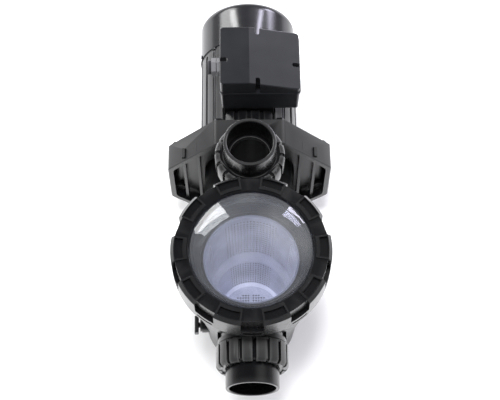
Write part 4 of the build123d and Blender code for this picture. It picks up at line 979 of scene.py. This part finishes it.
@dataclass
class Studio:
    """Floor, light and camera.

    Attributes:
        eye: the camera's place.
        azimuth: the camera's azimuth in degrees, 0 looking along +Y.
        elevation: the camera's elevation in degrees.
        lens: focal length in millimetres.
        sensor: width of the sensor in millimetres.
        target: the point that the lights face.
        floor_size: side of the floor.
        floor_colour: its colour.
        floor_roughness: its roughness.
        surround: strength of the even light all round.
        sky: what glossy surfaces mirror of it, from straight down, 0, to straight up, 1.
        glow_towards: direction of a soft glow that glossy surfaces mirror.
        glow_from: cosine of the angle off that direction at which the glow starts.
        glow: its strength.
    """

    eye: tuple[float, float, float] = (-0.00829, -0.74712, 1.63558)
    azimuth: float = -0.7
    elevation: float = 65.0
    lens: float = 77.76
    sensor: float = 36.0
    target: tuple[float, float, float] = (0.0, -0.1, 0.25)
    floor_size: float = 14.0
    floor_colour: Colour = (0.9, 0.9, 0.91)
    floor_roughness: float = 0.9
    surround: float = 0.9
    sky: tuple[tuple[float, Colour], ...] = (
        (0.0, (0.5, 0.5, 0.52)),
        (0.5, (0.6, 0.6, 0.624)),
        (0.56, (0.5, 0.5, 0.52)),
        (0.7, (0.12, 0.12, 0.1248)),
        (1.0, (0.05, 0.05, 0.055)),
    )
    glow_towards: Direction = (0.52, 0.55, 0.68)
    glow_from: float = 0.86
    glow: float = 1.2

    def camera(self) -> None:
        """Sets up the camera."""
        deselect()
        bpy.ops.object.camera_add(location=self.eye)
        camera = bpy.context.active_object
        a = math.radians(self.azimuth)
        e = math.radians(self.elevation)
        back = Vector((math.sin(a) * math.cos(e), -math.cos(a) * math.cos(e), math.sin(e)))
        camera.rotation_euler = (-back).to_track_quat("-Z", "Y").to_euler()
        camera.data.lens = self.lens
        camera.data.sensor_width = self.sensor
        bpy.context.scene.camera = camera

    def floor(self) -> None:
        """Lays a pale floor."""
        deselect()
        bpy.ops.mesh.primitive_plane_add(size=self.floor_size, location=(0, 0, 0))
        floor = bpy.context.active_object
        floor.name = "studio_floor"
        material = bpy.data.materials.new("studio_white")
        material.use_nodes = True
        shader = material.node_tree.nodes["Principled BSDF"]
        shader.inputs["Base Color"].default_value = (*self.floor_colour, 1)
        shader.inputs["Roughness"].default_value = self.floor_roughness
        floor.data.materials.append(material)

    def light(self, box: SoftBox) -> None:
        """Adds one soft box.

        Args:
            box: the soft box.
        """
        deselect()
        place = Vector(self.target) + Vector(box.towards).normalized() * box.far
        bpy.ops.object.light_add(type="AREA", location=place)
        lamp = bpy.context.active_object
        lamp.name = box.name
        lamp.data.shape = "RECTANGLE"
        lamp.data.size, lamp.data.size_y = box.size
        lamp.data.energy = box.power
        lamp.data.color = box.colour
        lamp.visible_camera = False
        lamp.visible_glossy = box.mirrored
        lamp.visible_transmission = box.mirrored
        lamp.rotation_euler = (Vector(self.target) - place).to_track_quat("-Z", "Y").to_euler()

    def mirrored_sky(self, tree: bpy.types.NodeTree) -> bpy.types.NodeSocket:
        """Adds what glossy surfaces mirror: a sky that darkens overhead, and a soft glow in it.

        Args:
            tree: the world's node tree.

        Returns:
            The output that gives its colour.
        """
        nodes, links = tree.nodes, tree.links
        where = nodes.new("ShaderNodeTexCoord")
        split = nodes.new("ShaderNodeSeparateXYZ")
        ramp = nodes.new("ShaderNodeValToRGB")
        stops = ramp.color_ramp.elements
        lowest, *middle, highest = self.sky
        for stop, (spot, colour) in zip(stops, (lowest, highest)):
            stop.position = spot
            stop.color = (*colour, 1)
        for spot, colour in middle:
            stops.new(spot).color = (*colour, 1)
        height = nodes.new("ShaderNodeMapRange")
        height.inputs["From Min"].default_value = -1.0
        links.new(where.outputs["Generated"], split.inputs["Vector"])
        links.new(split.outputs["Z"], height.inputs["Value"])
        links.new(height.outputs["Result"], ramp.inputs["Fac"])
        facing = nodes.new("ShaderNodeVectorMath")
        facing.operation = "DOT_PRODUCT"
        facing.inputs[1].default_value = Vector(self.glow_towards).normalized()
        links.new(where.outputs["Generated"], facing.inputs[0])
        glow = nodes.new("ShaderNodeMapRange")
        glow.inputs["From Min"].default_value = self.glow_from
        glow.inputs["To Max"].default_value = self.glow
        links.new(facing.outputs["Value"], glow.inputs["Value"])
        both = nodes.new("ShaderNodeVectorMath")
        links.new(ramp.outputs["Color"], both.inputs[0])
        links.new(glow.outputs["Result"], both.inputs[1])
        return both.outputs["Vector"]

    def world(self) -> None:
        """Surrounds the pump with even pale light that glossy surfaces mirror darker overhead."""
        world = bpy.data.worlds.new("studio_world")
        bpy.context.scene.world = world
        world.use_nodes = True
        world.cycles.sampling_method = "NONE"
        nodes = world.node_tree.nodes
        links = world.node_tree.links
        even = nodes["Background"]
        even.inputs["Color"].default_value = (1, 1, 1, 1)
        even.inputs["Strength"].default_value = self.surround
        dim = nodes.new("ShaderNodeBackground")
        links.new(self.mirrored_sky(world.node_tree), dim.inputs["Color"])
        path = nodes.new("ShaderNodeLightPath")
        mix = nodes.new("ShaderNodeMixShader")
        links.new(path.outputs["Is Glossy Ray"], mix.inputs["Fac"])
        links.new(even.outputs["Background"], mix.inputs[1])
        links.new(dim.outputs["Background"], mix.inputs[2])
        links.new(mix.outputs["Shader"], nodes["World Output"].inputs["Surface"])

    def build(self) -> None:
        """Makes the whole studio."""
        self.camera()
        self.floor()
        self.world()
        for box in SOFT_BOXES:
            self.light(box)
        bpy.context.scene.view_settings.view_transform = "Standard"


def main() -> None:
    """Builds everything in order."""
    logging.basicConfig(level=logging.INFO, format="%(name)s: %(message)s")
    frame = Frame(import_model())
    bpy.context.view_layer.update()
    for node, thing in frame.loaded["nodes"].items():
        dress(thing, frame.finish_of(node))
    for kind in (WetEnd, LockRing, Basket, Lid, Unions, Motor, TerminalBox, DrainPlugs):
        kind(frame).build()
    Studio().build()


if __name__ == "__main__":
    main()
